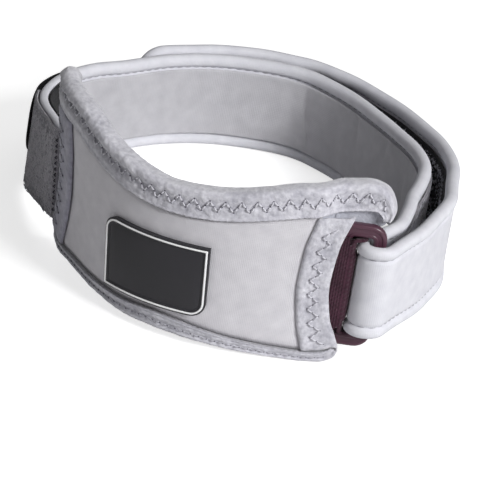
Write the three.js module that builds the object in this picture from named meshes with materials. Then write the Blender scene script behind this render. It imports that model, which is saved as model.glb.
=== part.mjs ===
// A patellar strap: a padded front panel, and one long strap that runs round the back, through a moulded
// ring at the right, and back over itself. Lengths are in millimetres, z is up and the panel faces -y.
import * as THREE from "three";

// Sizes that drive the whole part.
const PAD_HALF = 69; // along the pad, from its middle to the tip of a flap
const FLAP_RISE = 33.2; // from the pad's middle line up to the top of a flap
const PAD_DROP = 29.4; // from the pad's middle line down to the floor
const PAD_FRONT = 55; // from the middle of the loop forward to the pad's face
const LOOP_LEFT = 84; // from the middle of the loop to the strap's left side
const LOOP_BACK = 94; // from the middle of the loop to the strap's back
const STRAP_WIDTH = 32;
const GAP = 0.3; // left between two pieces that lie against each other

// The pad's bend: from the middle outwards, its direction turns by CURL less RELAX per BEND_LENGTH.
const CURL = 1.2048;
const RELAX = 0.7;
const BEND_LENGTH = 60;
const LEFT_TURN = 0.72; // how much more the left flap turns back, in radians at its tip
const LEFT_FLAP = 0.965; // height of the left flap, as a share of the right one's
const LEFT_DROP = 0.88; // depth of the left end below the middle line, as a share of the right one's
const PAD_LEAN = Math.tan(THREE.MathUtils.degToRad(5));

// Thicknesses, as offsets from the pad's reference surface, outwards positive.
const CORE_FACE = -0.8;
const CORE_THICK = 3;
const CORE_SWELL = 1.3; // how far the foam stands proud between the two tapes, on the leg's side
const PANEL_THICK = 1.2;
const TAPE_THICK = 1.3;
const TAPE_FACE = 1.1;
const SIDE_TAPE_BASE = 0.4;
const SIDE_TAPE_THICK = 1.4;
const TUCK = 4.3; // how far the right flap steps in behind the ring
const TUCK_FROM = 0.65; // where that step starts and ends, as shares of PAD_HALF
const TUCK_TO = 0.797;

// The tape over the top edge, from the tip of a flap to the middle.
// Columns: outer edge along the pad, outer edge height, inner edge along the pad, inner edge height,
// as shares of PAD_HALF and FLAP_RISE.
const TOP_TAPE = [
  [0.991, 0.645, 0.954, 0.642],
  [1.0, 0.705, 0.957, 0.66],
  [0.991, 0.825, 0.945, 0.702],
  [0.954, 0.955, 0.922, 0.732],
  [0.893, 1.0, 0.877, 0.723],
  [0.812, 0.982, 0.812, 0.699],
  [0.696, 0.964, 0.717, 0.672],
  [0.565, 0.931, 0.609, 0.645],
  [0.435, 0.861, 0.464, 0.578],
  [0.29, 0.792, 0.304, 0.506],
  [0.145, 0.747, 0.149, 0.458],
  [0.0, 0.72, 0.0, 0.44],
];
// The same columns for the tape under the bottom edge, whose depths are shares of PAD_DROP, downwards.
const BOTTOM_TAPE = [
  [0.861, 0.837, 0.826, 0.796],
  [0.849, 0.918, 0.812, 0.823],
  [0.812, 0.973, 0.79, 0.85],
  [0.725, 1.0, 0.725, 0.873],
  [0.58, 0.988, 0.58, 0.86],
  [0.391, 0.962, 0.391, 0.82],
  [0.145, 0.932, 0.145, 0.748],
  [0.0, 0.926, 0.0, 0.722],
];
// Edges of an upright tape. Columns: share of its height, inner edge and outer edge as shares of PAD_HALF.
const SIDE_TAPE = [
  [0.0, 0.699, 0.859],
  [0.25, 0.653, 0.8],
  [0.5, 0.632, 0.775],
  [0.75, 0.638, 0.787],
  [1.0, 0.671, 0.835],
];
// Lower edge of the foam under a flap. Columns: share of PAD_HALF, height as a share of FLAP_RISE.
const FLAP_UNDER = [
  [0.75, 0.521],
  [0.87, 0.527],
  [0.928, 0.554],
  [0.958, 0.608],
  [0.973, 0.669],
];
const FOAM_END = 0.743; // where the foam ends below the flaps, as a share of PAD_HALF
const FOAM_STEP = 0.8; // over this length its lower edge steps up to the flap's
const FOAM_INSET = TAPE_THICK + 3 * GAP; // from the tapes' outer edge
const FOAM_TOP_LEG = 11; // how far down from its top edge the foam stays thin
const FOAM_BOTTOM_LEG = 8;
// Sections of a flap's foam, from its tip inwards, as shares of the flap's length.
const FLAP_STATIONS = [0, 0.06, 0.14, 0.25, 0.4, 0.55, 0.7, 0.85, 1];
const BETWEEN_STATIONS = 24;

// The badge.
const BADGE_WIDTH = 35;
const BADGE_HEIGHT = 24.2;
const BADGE_THICK = 1.4;
const BADGE_ROUND = 5; // radius of its upper left and lower right corners
const BADGE_SHARP = 1; // and of the other two
const BADGE_TURN = THREE.MathUtils.degToRad(2.7);
const BADGE_AT = [-0.022, -0.224]; // its middle, as shares of PAD_HALF and PAD_DROP
const BORDER_INSET = 0.6;
const BORDER_WIDTH = 0.7;
const BORDER_RISE = 0.5;
const BORDER_GAP = 0.1;

// The ring lies flat against the pad's end. Lengths along the pad are from its seat, RING_SEAT.
const RING_SEAT = 0.87; // as a share of PAD_HALF
const RING_HEIGHT = 42.8;
const RING_MIDDLE = -1.5; // height of its middle above the pad's middle line
const RING_THICK = 3;
const RING_FACE = -1.2;
const RING_LEFT = -5.5;
const RING_RIGHT = 8.35;
const INNER_BAR = 3.3;
const OUTER_BAR = 4;
const RING_BEVEL = 0.8;
const RING_CORNER = 5;
const SLOT_HEIGHT = STRAP_WIDTH + 2.2;
const WEBBING_THICK = 1.2;
const WEBBING_TAIL = 2.2; // how far the webbing reaches past the ring, in under the upright tape
const WEBBING_BEND = 1.6; // its outer radius where it turns round the inner bar

// The strap's section: flat between its hems.
const STRAP_HALF_THICK = 1.5;
const HEM_HALF_THICK = 2.1;
const HEM_WIDTH = 4.1;
const SKIN_THICK = 1.1;
const TURN_RADIUS = 4.6; // of the strap's middle line round the ring's outer bar
const TIP_RADIUS = 9;
const TIP_FLAT = 2; // how far past the rounded tip the hems stay flat
const STRAP_EDGE = 0.6; // width of the strap's rounded edge
const SKIN_BEVEL = 0.3;
const STEP = 7; // spacing of the strap's sections
const TURN_STEPS = 12; // sections round the ring's outer bar
// Distance of the hook tab's own line from the inner run's, with both skins between them.
const TAB_SPACING = 2 * (STRAP_HALF_THICK + GAP + SKIN_THICK) + 2 * GAP;

// Middle lines in plan. Columns: share of LOOP_LEFT, share of LOOP_BACK.
const INNER_RUN = [
  [-0.649, -0.271],
  [-0.708, -0.218],
  [-0.768, -0.165],
  [-0.825, -0.112],
  [-0.881, -0.048],
  [-0.924, 0.027],
  [-0.952, 0.106],
  [-0.968, 0.191],
  [-0.964, 0.287],
  [-0.935, 0.383],
  [-0.881, 0.468],
  [-0.78, 0.65],
  [-0.643, 0.787],
  [-0.45, 0.886],
  [-0.333, 0.911],
  [-0.22, 0.895],
  [-0.095, 0.855],
  [0.042, 0.782],
  [0.196, 0.686],
  [0.333, 0.59],
  [0.435, 0.479],
  [0.506, 0.33],
  [0.542, 0.218],
  [0.595, 0.096],
  [0.642, -0.053],
];
const OUTER_RUN = [
  [0.738, -0.15],
  [0.73, -0.032],
  [0.706, 0.101],
  [0.667, 0.266],
  [0.595, 0.404],
  [0.512, 0.553],
  [0.375, 0.702],
  [0.256, 0.787],
  [0.105, 0.88],
  [-0.03, 0.94],
  [-0.167, 0.985],
  [-0.274, 0.997],
  [-0.363, 0.997],
  [-0.452, 0.973],
  [-0.542, 0.943],
  [-0.637, 0.89],
  [-0.702, 0.843],
  [-0.774, 0.77],
  [-0.827, 0.713],
  [-0.865, 0.66],
  [-0.9, 0.607],
];
// Where the ring's outer bar and the strap's left end lie in plan, as shares of LOOP_LEFT and LOOP_BACK. When
// the pad's size moves one of them, both runs follow it there, less and less over FOLLOW_SHARE of the pad.
const RING_AT = [0.68982, -0.26653];
const START_AT = [-0.53819, -0.34338];
const FOLLOW_SHARE = 0.65;
const RING_APPROACH = 9; // how far behind the outer bar the inner run is already in line with it
const TAB_END = 46; // how far short of the strap's left end the hook tab stops
// Height of the strap's lower edge above the floor: a sloping plane that meets the floor at the back left.
// It rises towards both ends of the pad, by so much at each end and over such a reach.
const LIFT = { level: 4.3, alongX: 0.083, alongY: -0.041, blend: 1.2 };
const RIGHT_RISE = { height: 1.4, reach: 22 };
const LEFT_RISE = { height: 8.3, reach: 47 };
const LEAN_REACH = 26; // how far from its ends the strap still leans with the pad
const GRIP_FROM = 0.06; // start of the hook tape on the outer run, as a share of that run
const END_TAB_LENGTH = 49;
const STRAP_DEPTH = -2.6; // offset of the strap's left end from the pad's reference surface
const STRAP_START = [FOAM_STEP + GAP, 4.8]; // its first two points, as lengths past the end of the foam

const { lerp } = THREE.MathUtils;

// Value of a table's column where its first column is x, along a smooth curve that doesn't overshoot.
function tableAt(table, column, x) {
  const rows = [...table].sort((a, b) => a[0] - b[0]);
  const last = rows.length - 1;
  if (x <= rows[0][0]) return rows[0][column];
  if (x >= rows[last][0]) return rows[last][column];
  const i = rows.findIndex((row, k) => k < last && x <= rows[k + 1][0]);
  const slope = (k) => (rows[k + 1][column] - rows[k][column]) / (rows[k + 1][0] - rows[k][0]);
  const tangent = (k) => {
    if (k === 0) return slope(0);
    if (k === last) return slope(last - 1);
    const [before, after] = [slope(k - 1), slope(k)];
    return before * after <= 0 ? 0 : (2 * before * after) / (before + after);
  };
  const width = rows[i + 1][0] - rows[i][0];
  const t = (x - rows[i][0]) / width;
  const share = 3 * t ** 2 - 2 * t ** 3;
  const bend = (t ** 3 - 2 * t ** 2 + t) * tangent(i) + (t ** 3 - t ** 2) * tangent(i + 1);
  return lerp(rows[i][column], rows[i + 1][column], share) + width * bend;
}

// Direction of the pad at a length u along it, as an angle from the x axis.
function padAngle(u) {
  const v = u / BEND_LENGTH;
  const leftTurn = LEFT_TURN * THREE.MathUtils.smoothstep(-u / PAD_HALF, 0.66, 1);
  return CURL * v - RELAX * v ** 3 - leftTurn;
}

// Points of the pad's reference curve, every half millimetre from the middle out to beyond the flaps.
const padCurve = [1, -1].map((side) => {
  const step = 0.5;
  const points = [[0, -PAD_FRONT]];
  for (let u = 0; u < PAD_HALF * 1.2; u += step) {
    const [x, y] = points[points.length - 1];
    const angle = padAngle(side * (u + step / 2));
    points.push([x + side * step * Math.cos(angle), y + side * step * Math.sin(angle)]);
  }
  return { step, points };
});

// A point of the pad: u along it, o outwards from its reference surface, z above its middle line.
function padPoint(u, o, z) {
  const { step, points } = padCurve[u < 0 ? 1 : 0];
  const at = Math.min(Math.abs(u) / step, points.length - 1.001);
  const i = Math.floor(at);
  const x = lerp(points[i][0], points[i + 1][0], at - i);
  const y = lerp(points[i][1], points[i + 1][1], at - i);
  const angle = padAngle(u);
  const out = o + z * PAD_LEAN;
  return new THREE.Vector3(x + Math.sin(angle) * out, y - Math.cos(angle) * out, z + PAD_DROP);
}

// How far the foam and its top tape step in at a length u along the pad and a height z.
function tuck(u, z) {
  const along = THREE.MathUtils.smoothstep(u / PAD_HALF, TUCK_FROM, TUCK_TO);
  return -TUCK * along * THREE.MathUtils.smoothstep(z / FLAP_RISE, 0, 0.42);
}

// A closed mesh from vertices and triangles, with its faces turned outwards.
function solid(points, faces) {
  let volume = 0;
  for (const [a, b, c] of faces)
    volume += points[a].dot(new THREE.Vector3().crossVectors(points[b], points[c]));
  const index = faces.flatMap(([a, b, c]) => (volume < 0 ? [a, c, b] : [a, b, c]));
  const geometry = new THREE.BufferGeometry().setFromPoints(points);
  geometry.setIndex(index);
  geometry.computeVertexNormals();
  return geometry;
}

// A solid through matching closed sections. The flat outline, if given, is the section's shape for the two
// end caps. With none, the last section joins the first.
function sweep(sections, outline) {
  const size = sections[0].length;
  const points = sections.flat();
  const faces = [];
  const joins = outline ? sections.length - 1 : sections.length;
  for (let i = 0; i < joins; i++)
    for (let j = 0; j < size; j++) {
      const next = (i + 1) % sections.length;
      const [a, b] = [i * size + j, i * size + ((j + 1) % size)];
      const [c, d] = [next * size + j, next * size + ((j + 1) % size)];
      faces.push([a, c, b], [b, c, d]);
    }
  if (outline) {
    const flat = outline.map(([x, y]) => new THREE.Vector2(x, y));
    const end = (sections.length - 1) * size;
    const turned = THREE.ShapeUtils.isClockWise(flat);
    const cap = THREE.ShapeUtils.triangulateShape(turned ? [...flat].reverse() : flat, []);
    for (const [a, b, c] of cap) {
      const [p, q, r] = turned ? [size - 1 - a, size - 1 - c, size - 1 - b] : [a, b, c];
      faces.push([p, q, r], [end + p, end + r, end + q]);
    }
  }
  return solid(points, faces);
}

// A slab over a grid: place(s, t, side) gives a point, with s and t from 0 to 1 and side 0 under, 1 on top.
function slab(columns, rows, place) {
  const points = [];
  const at = (side, i, j) => (side * (columns + 1) + i) * (rows + 1) + j;
  for (const side of [0, 1])
    for (let i = 0; i <= columns; i++)
      for (let j = 0; j <= rows; j++) points.push(place(i / columns, j / rows, side));
  const faces = [];
  const quad = (a, b, c, d) => faces.push([a, b, c], [a, c, d]);
  for (let i = 0; i < columns; i++)
    for (let j = 0; j < rows; j++) {
      quad(at(1, i, j), at(1, i + 1, j), at(1, i + 1, j + 1), at(1, i, j + 1));
      quad(at(0, i, j), at(0, i, j + 1), at(0, i + 1, j + 1), at(0, i + 1, j));
    }
  for (let i = 0; i < columns; i++) {
    quad(at(0, i, 0), at(0, i + 1, 0), at(1, i + 1, 0), at(1, i, 0));
    quad(at(0, i, rows), at(1, i, rows), at(1, i + 1, rows), at(0, i + 1, rows));
  }
  for (let j = 0; j < rows; j++) {
    quad(at(0, 0, j), at(1, 0, j), at(1, 0, j + 1), at(0, 0, j + 1));
    quad(at(0, columns, j), at(0, columns, j + 1), at(1, columns, j + 1), at(1, columns, j));
  }
  return solid(points, faces);
}

// Rows of a tape from one end of the pad to the other, with a smooth curve through the table's rows.
// leftShare scales the left end's heights, and over says where along the pad that comes in.
function tapeRows(table, height, perRow, leftShare, over) {
  const scale = [PAD_HALF, height, PAD_HALF, height];
  const right = table.map((row) => row.map((share, k) => share * scale[k]));
  const left = right.slice(0, -1).map(([u0, z0, u1, z1]) => {
    const share = lerp(1, leftShare, THREE.MathUtils.smoothstep(u0 / PAD_HALF, ...over));
    return [-u0, z0 * share, -u1, z1 * share];
  });
  const all = [...right, ...left.reverse()];
  const edge = (k) =>
    new THREE.CatmullRomCurve3(all.map((row) => new THREE.Vector3(row[k], row[k + 1], 0)));
  const [outer, inner] = [edge(0), edge(2)];
  const count = (all.length - 1) * perRow;
  return Array.from({ length: count + 1 }, (_, i) => {
    const [p, q] = [outer.getPoint(i / count), inner.getPoint(i / count)];
    return [p.x, p.y, q.x, q.y];
  });
}
const topRows = tapeRows(TOP_TAPE, FLAP_RISE, 3, LEFT_FLAP, [0.4, 0.85]);
const bottomRows = tapeRows(BOTTOM_TAPE, -PAD_DROP, 3, LEFT_DROP, [0.12, 0.6]);

// Height of a tape's outer edge (column 0) or inner edge (column 2) at a length u along the pad.
function edgeHeight(rows, column, u) {
  const lengths = rows.map((row) => row[column]);
  const first = lengths.indexOf(Math.max(...lengths));
  const last = lengths.indexOf(Math.min(...lengths));
  if (u >= lengths[first]) return rows[first][column + 1];
  if (u <= lengths[last]) return rows[last][column + 1];
  let i = first;
  while (lengths[i + 1] > u) i++;
  const t = (u - lengths[i]) / (lengths[i + 1] - lengths[i]);
  return lerp(rows[i][column + 1], rows[i + 1][column + 1], t);
}

// The foam's section at a length u along the pad: thin under the tapes, swelling between them.
function foamSection(u) {
  const stretch = PAD_HALF / (PAD_HALF - FOAM_INSET);
  const top = edgeHeight(topRows, 0, u * stretch) - FOAM_INSET;
  const share = Math.abs(u) / PAD_HALF;
  const under = share > FOAM_END;
  const flapShare = u < 0 ? LEFT_FLAP : 1;
  const bottom = under
    ? FLAP_RISE * flapShare * tableAt(FLAP_UNDER, 1, share)
    : edgeHeight(bottomRows, 0, u) + FOAM_INSET;
  const height = top - bottom;
  const topLeg = Math.min(FOAM_TOP_LEG, height * 0.45);
  const bottomLeg = under ? height * 0.2 : FOAM_BOTTOM_LEG;
  const back = CORE_FACE - CORE_THICK;
  const swell = back - (under ? 0.2 : 1) * CORE_SWELL;
  const section = [
    [CORE_FACE, bottom],
    [CORE_FACE, bottom + height * 0.3],
    [CORE_FACE, top - topLeg],
    [CORE_FACE, top],
    [back, top],
    [back, top - topLeg],
    [swell, top - topLeg - height * 0.04],
    [swell, bottom + bottomLeg + height * 0.04],
    [back, bottom + bottomLeg],
    [back, bottom],
  ];
  return section.map(([o, z]) => [o + tuck(u, z), z]);
}

function padCore() {
  const end = PAD_HALF - FOAM_INSET;
  const step = FOAM_END * PAD_HALF;
  const flap = FLAP_STATIONS.map((share) => lerp(end, step + FOAM_STEP, share));
  const stations = [...flap];
  for (let i = 0; i <= BETWEEN_STATIONS; i++)
    stations.push(lerp(step, -step, i / BETWEEN_STATIONS));
  stations.push(...flap.map((u) => -u).reverse());
  const sections = stations.map(foamSection);
  return sweep(
    sections.map((section, i) => section.map(([o, z]) => padPoint(stations[i], o, z))),
    sections[0],
  );
}

// The tape's section. Columns: distance in from the crown, share of the tape's depth added to it, offset.
const TAPE_INSIDE = CORE_FACE - CORE_THICK - GAP;
const TAPE_BACK = TAPE_INSIDE - TAPE_THICK;
const TAPE_SECTION = [
  [0, 1, TAPE_FACE - 0.3],
  [-0.6, 1, TAPE_FACE],
  [1.2, 0, TAPE_FACE],
  [0.3, 0, TAPE_FACE - 0.6],
  [0, 0, CORE_FACE - CORE_THICK / 2],
  [0.3, 0, TAPE_BACK + 0.6],
  [1.2, 0, TAPE_BACK],
  [-0.2, 1, TAPE_BACK],
  [0, 1, TAPE_INSIDE],
  [TAPE_THICK, 0, TAPE_INSIDE],
  [TAPE_THICK, 0, CORE_FACE + GAP],
  [0, 1, CORE_FACE + GAP],
];

// A tape folded over an edge: the rows give its outer and inner edges along the pad.
function foldedTape(rows, step) {
  const sections = rows.map(([u0, z0, u1, z1]) => {
    const depth = Math.hypot(u1 - u0, z1 - z0);
    return TAPE_SECTION.map(([inward, share, offset]) => {
      const along = (inward + share * depth) / depth;
      const [u, z] = [lerp(u0, u1, along), lerp(z0, z1, along)];
      return padPoint(u, offset + step(u, z), z);
    });
  });
  return sweep(
    sections,
    TAPE_SECTION.map(([inward, share, offset]) => [inward + share * 5, offset]),
  );
}

const bindingTop = () => foldedTape(topRows, tuck);
const bindingBottom = () => foldedTape(bottomRows, () => 0);

// Height between the two folded tapes at a length u along the pad, for a share t of it from the bottom.
function between(u, t) {
  return lerp(edgeHeight(bottomRows, 2, u) + 2 * GAP, edgeHeight(topRows, 2, u) - GAP, t);
}

function sideTape(side) {
  return slab(3, 12, (s, t, top) => {
    const u = side * PAD_HALF * lerp(tableAt(SIDE_TAPE, 1, t), tableAt(SIDE_TAPE, 2, t), s);
    const edge = top && (s === 0 || s === 1) ? -0.4 : 0;
    return padPoint(u, SIDE_TAPE_BASE + top * SIDE_TAPE_THICK + edge, between(u, t));
  });
}

function padFace() {
  const base = CORE_FACE + GAP;
  return slab(26, 5, (s, t, top) => {
    const edge = PAD_HALF * tableAt(SIDE_TAPE, 1, t) - GAP;
    const u = lerp(-edge, edge, s);
    return padPoint(u, base + top * PANEL_THICK, between(u, t));
  });
}

// Offset of the pad face's outer surface.
const PANEL_FACE = CORE_FACE + GAP + PANEL_THICK;

// A point on the badge, from its own middle and its own level sides.
function badgePoint(x, y, o) {
  const [c, s] = [Math.cos(BADGE_TURN), Math.sin(BADGE_TURN)];
  return padPoint(BADGE_AT[0] * PAD_HALF + c * x - s * y, o, BADGE_AT[1] * PAD_DROP + s * x + c * y);
}

// Points round a rectangle, counter-clockwise from its upper right corner. Its corners' radii are in turn the
// first one given and the second.
function roundedRectangle(width, height, sharp, round, perCorner, perSide) {
  const shape = [];
  const corners = [
    [width / 2 - sharp, height / 2 - sharp, 0, sharp],
    [round - width / 2, height / 2 - round, 1, round],
    [sharp - width / 2, sharp - height / 2, 2, sharp],
    [width / 2 - round, round - height / 2, 3, round],
  ];
  corners.forEach(([x, y, quarter, radius], k) => {
    for (let i = 0; i <= perCorner; i++) {
      const angle = ((quarter + i / perCorner) * Math.PI) / 2;
      shape.push([x + radius * Math.cos(angle), y + radius * Math.sin(angle)]);
    }
    const [from, next] = [shape[shape.length - 1], corners[(k + 1) % 4]];
    const angle = (next[2] * Math.PI) / 2;
    const to = [next[0] + next[3] * Math.cos(angle), next[1] + next[3] * Math.sin(angle)];
    for (let i = 1; i < perSide; i++)
      shape.push([lerp(from[0], to[0], i / perSide), lerp(from[1], to[1], i / perSide)]);
  });
  return shape;
}

function badge() {
  const columns = 20;
  const [half, high] = [BADGE_WIDTH / 2, BADGE_HEIGHT / 2];
  const reach = (x, radius) => {
    const pastCorner = Math.max(0, Math.abs(x) - (half - radius));
    const fall = radius - Math.sqrt(Math.max(0, radius ** 2 - pastCorner ** 2));
    return high - Math.min(fall, radius * 0.9);
  };
  return slab(columns, 2, (s, t, top) => {
    const x = -half * Math.cos(Math.PI * s);
    const [above, below] = x < 0 ? [BADGE_ROUND, BADGE_SHARP] : [BADGE_SHARP, BADGE_ROUND];
    const y = lerp(-reach(x, below), reach(x, above), t);
    return badgePoint(x, y, PANEL_FACE + GAP + top * BADGE_THICK);
  });
}

function badgeBorder() {
  const base = PANEL_FACE + GAP + BADGE_THICK + BORDER_GAP;
  const edge = (inset) => {
    const [width, height] = [BADGE_WIDTH - 2 * inset, BADGE_HEIGHT - 2 * inset];
    const sharp = Math.max(BADGE_SHARP - inset, 0.3);
    return roundedRectangle(width, height, sharp, BADGE_ROUND - inset, 4, 5);
  };
  const [outer, inner] = [edge(BORDER_INSET), edge(BORDER_INSET + BORDER_WIDTH)];
  return sweep(
    outer.map((p, i) => [
      badgePoint(...p, base),
      badgePoint(...p, base + BORDER_RISE),
      badgePoint(...inner[i], base + BORDER_RISE),
      badgePoint(...inner[i], base),
    ]),
  );
}

// A point of the ring's own flat frame: x along the pad from the ring's seat, o outwards, z above the pad's
// middle line.
function ringPoint(x, o, z) {
  const seat = padPoint(RING_SEAT * PAD_HALF, 0, 0);
  const angle = padAngle(RING_SEAT * PAD_HALF);
  const out = o + z * PAD_LEAN;
  const [c, s] = [Math.cos(angle), Math.sin(angle)];
  return new THREE.Vector3(seat.x + c * x + s * out, seat.y + s * x - c * out, z + PAD_DROP);
}

// Moves an extrusion's points to place(x, y, z), and turns its faces outwards.
function moved(geometry, place) {
  const position = geometry.getAttribute("position");
  const points = [];
  for (let i = 0; i < position.count; i++)
    points.push(place(position.getX(i), position.getY(i), position.getZ(i)));
  const faces = Array.from({ length: points.length / 3 }, (_, i) => [3 * i, 3 * i + 1, 3 * i + 2]);
  return solid(points, faces);
}

// A path round a rectangle, with one radius for its left-hand corners and another for its right-hand ones.
function rectanglePath(path, left, right, low, high, leftRadius, rightRadius) {
  path.moveTo(left + leftRadius, low);
  path.lineTo(right - rightRadius, low);
  path.quadraticCurveTo(right, low, right, low + rightRadius);
  path.lineTo(right, high - rightRadius);
  path.quadraticCurveTo(right, high, right - rightRadius, high);
  path.lineTo(left + leftRadius, high);
  path.quadraticCurveTo(left, high, left, high - leftRadius);
  path.lineTo(left, low + leftRadius);
  path.quadraticCurveTo(left, low, left + leftRadius, low);
  return path;
}

function ring() {
  const b = RING_BEVEL;
  const [low, high] = [RING_MIDDLE - RING_HEIGHT / 2, RING_MIDDLE + RING_HEIGHT / 2];
  const [slotLow, slotHigh] = [RING_MIDDLE - SLOT_HEIGHT / 2, RING_MIDDLE + SLOT_HEIGHT / 2];
  const [left, right] = [RING_LEFT + b, RING_RIGHT - b];
  const [slotLeft, slotRight] = [RING_LEFT + INNER_BAR - b, RING_RIGHT - OUTER_BAR + b];
  const shape = rectanglePath(new THREE.Shape(), left, right, low + b, high - b, 2, RING_CORNER);
  shape.holes.push(rectanglePath(new THREE.Path(), slotLeft, slotRight, slotLow - b, slotHigh + b, 1, 1));
  const geometry = new THREE.ExtrudeGeometry(shape, {
    depth: RING_THICK - 2 * b,
    bevelThickness: b,
    bevelSize: b,
    bevelSegments: 2,
    curveSegments: 4,
  });
  return moved(geometry, (x, z, depth) => ringPoint(x, RING_FACE - RING_THICK + b + depth, z));
}

// The webbing's sleeve round the ring's inner bar, with its tail under the upright tape.
function ringWebbing() {
  const left = RING_LEFT - WEBBING_TAIL;
  const right = RING_LEFT + INNER_BAR + GAP + WEBBING_THICK;
  const front = RING_FACE + GAP + WEBBING_THICK - 0.2;
  const back = RING_FACE - RING_THICK - GAP - WEBBING_THICK;
  const shape = rectanglePath(new THREE.Shape(), left, right, back, front, 0.4, WEBBING_BEND);
  const [barLeft, barRight] = [RING_LEFT - GAP, RING_LEFT + INNER_BAR + GAP];
  const [barBack, barFront] = [RING_FACE - RING_THICK - GAP, RING_FACE + GAP];
  shape.holes.push(rectanglePath(new THREE.Path(), barLeft, barRight, barBack, barFront, 0.2, 0.2));
  const height = SLOT_HEIGHT - 2 * GAP;
  const extrusion = { depth: height, bevelEnabled: false, curveSegments: 3 };
  const geometry = new THREE.ExtrudeGeometry(shape, extrusion);
  return moved(geometry, (x, o, up) => ringPoint(x, o, RING_MIDDLE - height / 2 + up));
}

// Points in plan through the given ones, evenly spaced along a smooth curve.
function smoothRun(points, spacing) {
  const curve = new THREE.CatmullRomCurve3(points.map(([x, y]) => new THREE.Vector3(x, y, 0)));
  return curve.getSpacedPoints(Math.round(curve.getLength() / spacing));
}

// A run's middle line in plan, from its table.
function inLoop(rows) {
  const anchors = [
    [RING_AT, outerBar],
    [START_AT, strapStart[0]],
  ];
  return rows.map(([xShare, yShare]) => {
    const table = new THREE.Vector2(xShare * LOOP_LEFT, yShare * LOOP_BACK);
    const point = table.clone();
    for (const [at, now] of anchors) {
      const real = new THREE.Vector2(at[0] * LOOP_LEFT, at[1] * LOOP_BACK);
      const share = Math.exp(-table.distanceToSquared(real) / (FOLLOW_SHARE * PAD_HALF) ** 2);
      point.add(new THREE.Vector2(now.x, now.y).sub(real).multiplyScalar(share));
    }
    return [point.x, point.y];
  });
}

// Middle of the ring's outer bar, at the height of the pad's middle line.
const outerBar = ringPoint(RING_RIGHT - OUTER_BAR / 2, RING_FACE - RING_THICK / 2, 0);

// Where the strap's left end starts under the upright tape, and its next point along the pad.
const strapStart = STRAP_START.map((past) => padPoint(-FOAM_END * PAD_HALF - past, STRAP_DEPTH, 0));

// How much of a rise is left at a distance from its middle.
function risen(rise, x, y, middle) {
  return rise.height * Math.exp(-(((x - middle.x) ** 2 + (y - middle.y) ** 2) / rise.reach ** 2));
}

// Height of the strap's lower edge above the floor, where its middle line passes (x, y).
function liftAt(x, y) {
  const plane = LIFT.level + LIFT.alongX * x + LIFT.alongY * y;
  const eased = (plane + Math.sqrt(plane ** 2 + LIFT.blend ** 2)) / 2;
  return eased + risen(RIGHT_RISE, x, y, outerBar) + risen(LEFT_RISE, x, y, strapStart[0]);
}

// Unit normal of a run's grip side at one of its points.
function gripNormal(plan, i) {
  const before = plan[Math.max(i - 1, 0)];
  const after = plan[Math.min(i + 1, plan.length - 1)];
  return new THREE.Vector2(before.y - after.y, after.x - before.x).normalize();
}

// The line of the hook tab beyond the strap's tip: it closes up to the inner run and follows its outside.
function tabRun(inner, tip) {
  const distance = (p) => Math.hypot(p.x - tip.x, p.y - tip.y);
  const nearest = inner.reduce((best, p, i) => (distance(p) < distance(inner[best]) ? i : best), 0);
  const first = distance(inner[nearest]);
  const points = [];
  for (let i = nearest - 1; i * STEP >= TAB_END; i--) {
    const spacing = lerp(first, TAB_SPACING, Math.min(1, (nearest - i) / 3));
    const normal = gripNormal(inner, i);
    points.push(new THREE.Vector3(inner[i].x + normal.x * spacing, inner[i].y + normal.y * spacing, 0));
  }
  return points;
}

// The strap's rows from its left end to the tip of the outer run, then the hook tab's own rows.
// Each row has its place in plan, the normal of its grip side, its lean per unit of height and its lift.
function strapRows() {
  const inner = smoothRun(
    [
      ...strapStart.map((p) => [p.x, p.y]),
      ...inLoop(INNER_RUN),
      [outerBar.x - TURN_RADIUS, outerBar.y + RING_APPROACH],
      [outerBar.x - TURN_RADIUS, outerBar.y],
    ],
    STEP,
  );
  const turn = [];
  for (let i = 1; i < TURN_STEPS; i++) {
    const angle = Math.PI * (1 + i / TURN_STEPS);
    const [across, along] = [TURN_RADIUS * Math.cos(angle), TURN_RADIUS * Math.sin(angle)];
    turn.push(new THREE.Vector3(outerBar.x + across, outerBar.y + along, 0));
  }
  const outer = smoothRun([[outerBar.x + TURN_RADIUS, outerBar.y], ...inLoop(OUTER_RUN)], STEP);
  const tab = tabRun(inner, outer[outer.length - 1]);
  const plan = [...inner, ...turn, ...outer, ...tab];
  const count = { inner: inner.length, turn: turn.length, outer: outer.length };
  const outwards = (angle) =>
    new THREE.Vector2(Math.sin(angle), -Math.cos(angle)).multiplyScalar(PAD_LEAN);
  const rightLean = outwards(padAngle(RING_SEAT * PAD_HALF));
  const leftLean = outwards(padAngle(-FOAM_END * PAD_HALF));
  const rows = plan.map((p, i) => {
    const far = (q) => Math.hypot(p.x - q.x, p.y - q.y) / LEAN_REACH;
    const right = Math.exp(-(far(outerBar) ** 4));
    const left = Math.exp(-(far(strapStart[0]) ** 2));
    const lean = rightLean.clone().multiplyScalar(right).addScaledVector(leftLean, left);
    return { x: p.x, y: p.y, normal: gripNormal(plan, i), lean, lift: liftAt(p.x, p.y) };
  });
  return { rows, count };
}
const strapPath = strapRows();

// A point of the strap: c across its thickness towards the grip side, h up its width from the lower edge.
function strapPoint(row, c, h) {
  const z = row.lift + h;
  const up = z - PAD_DROP;
  return new THREE.Vector3(
    row.x + row.normal.x * c + row.lean.x * up,
    row.y + row.normal.y * c + row.lean.y * up,
    z,
  );
}

// Half of the strap's width, reduced over the rounded end, at a distance from that end.
function halfWidth(full, fromEnd, radius) {
  const reach = Math.max(0, radius - Math.max(fromEnd, 0.35));
  return full - radius + Math.sqrt(radius ** 2 - reach ** 2);
}

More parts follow.
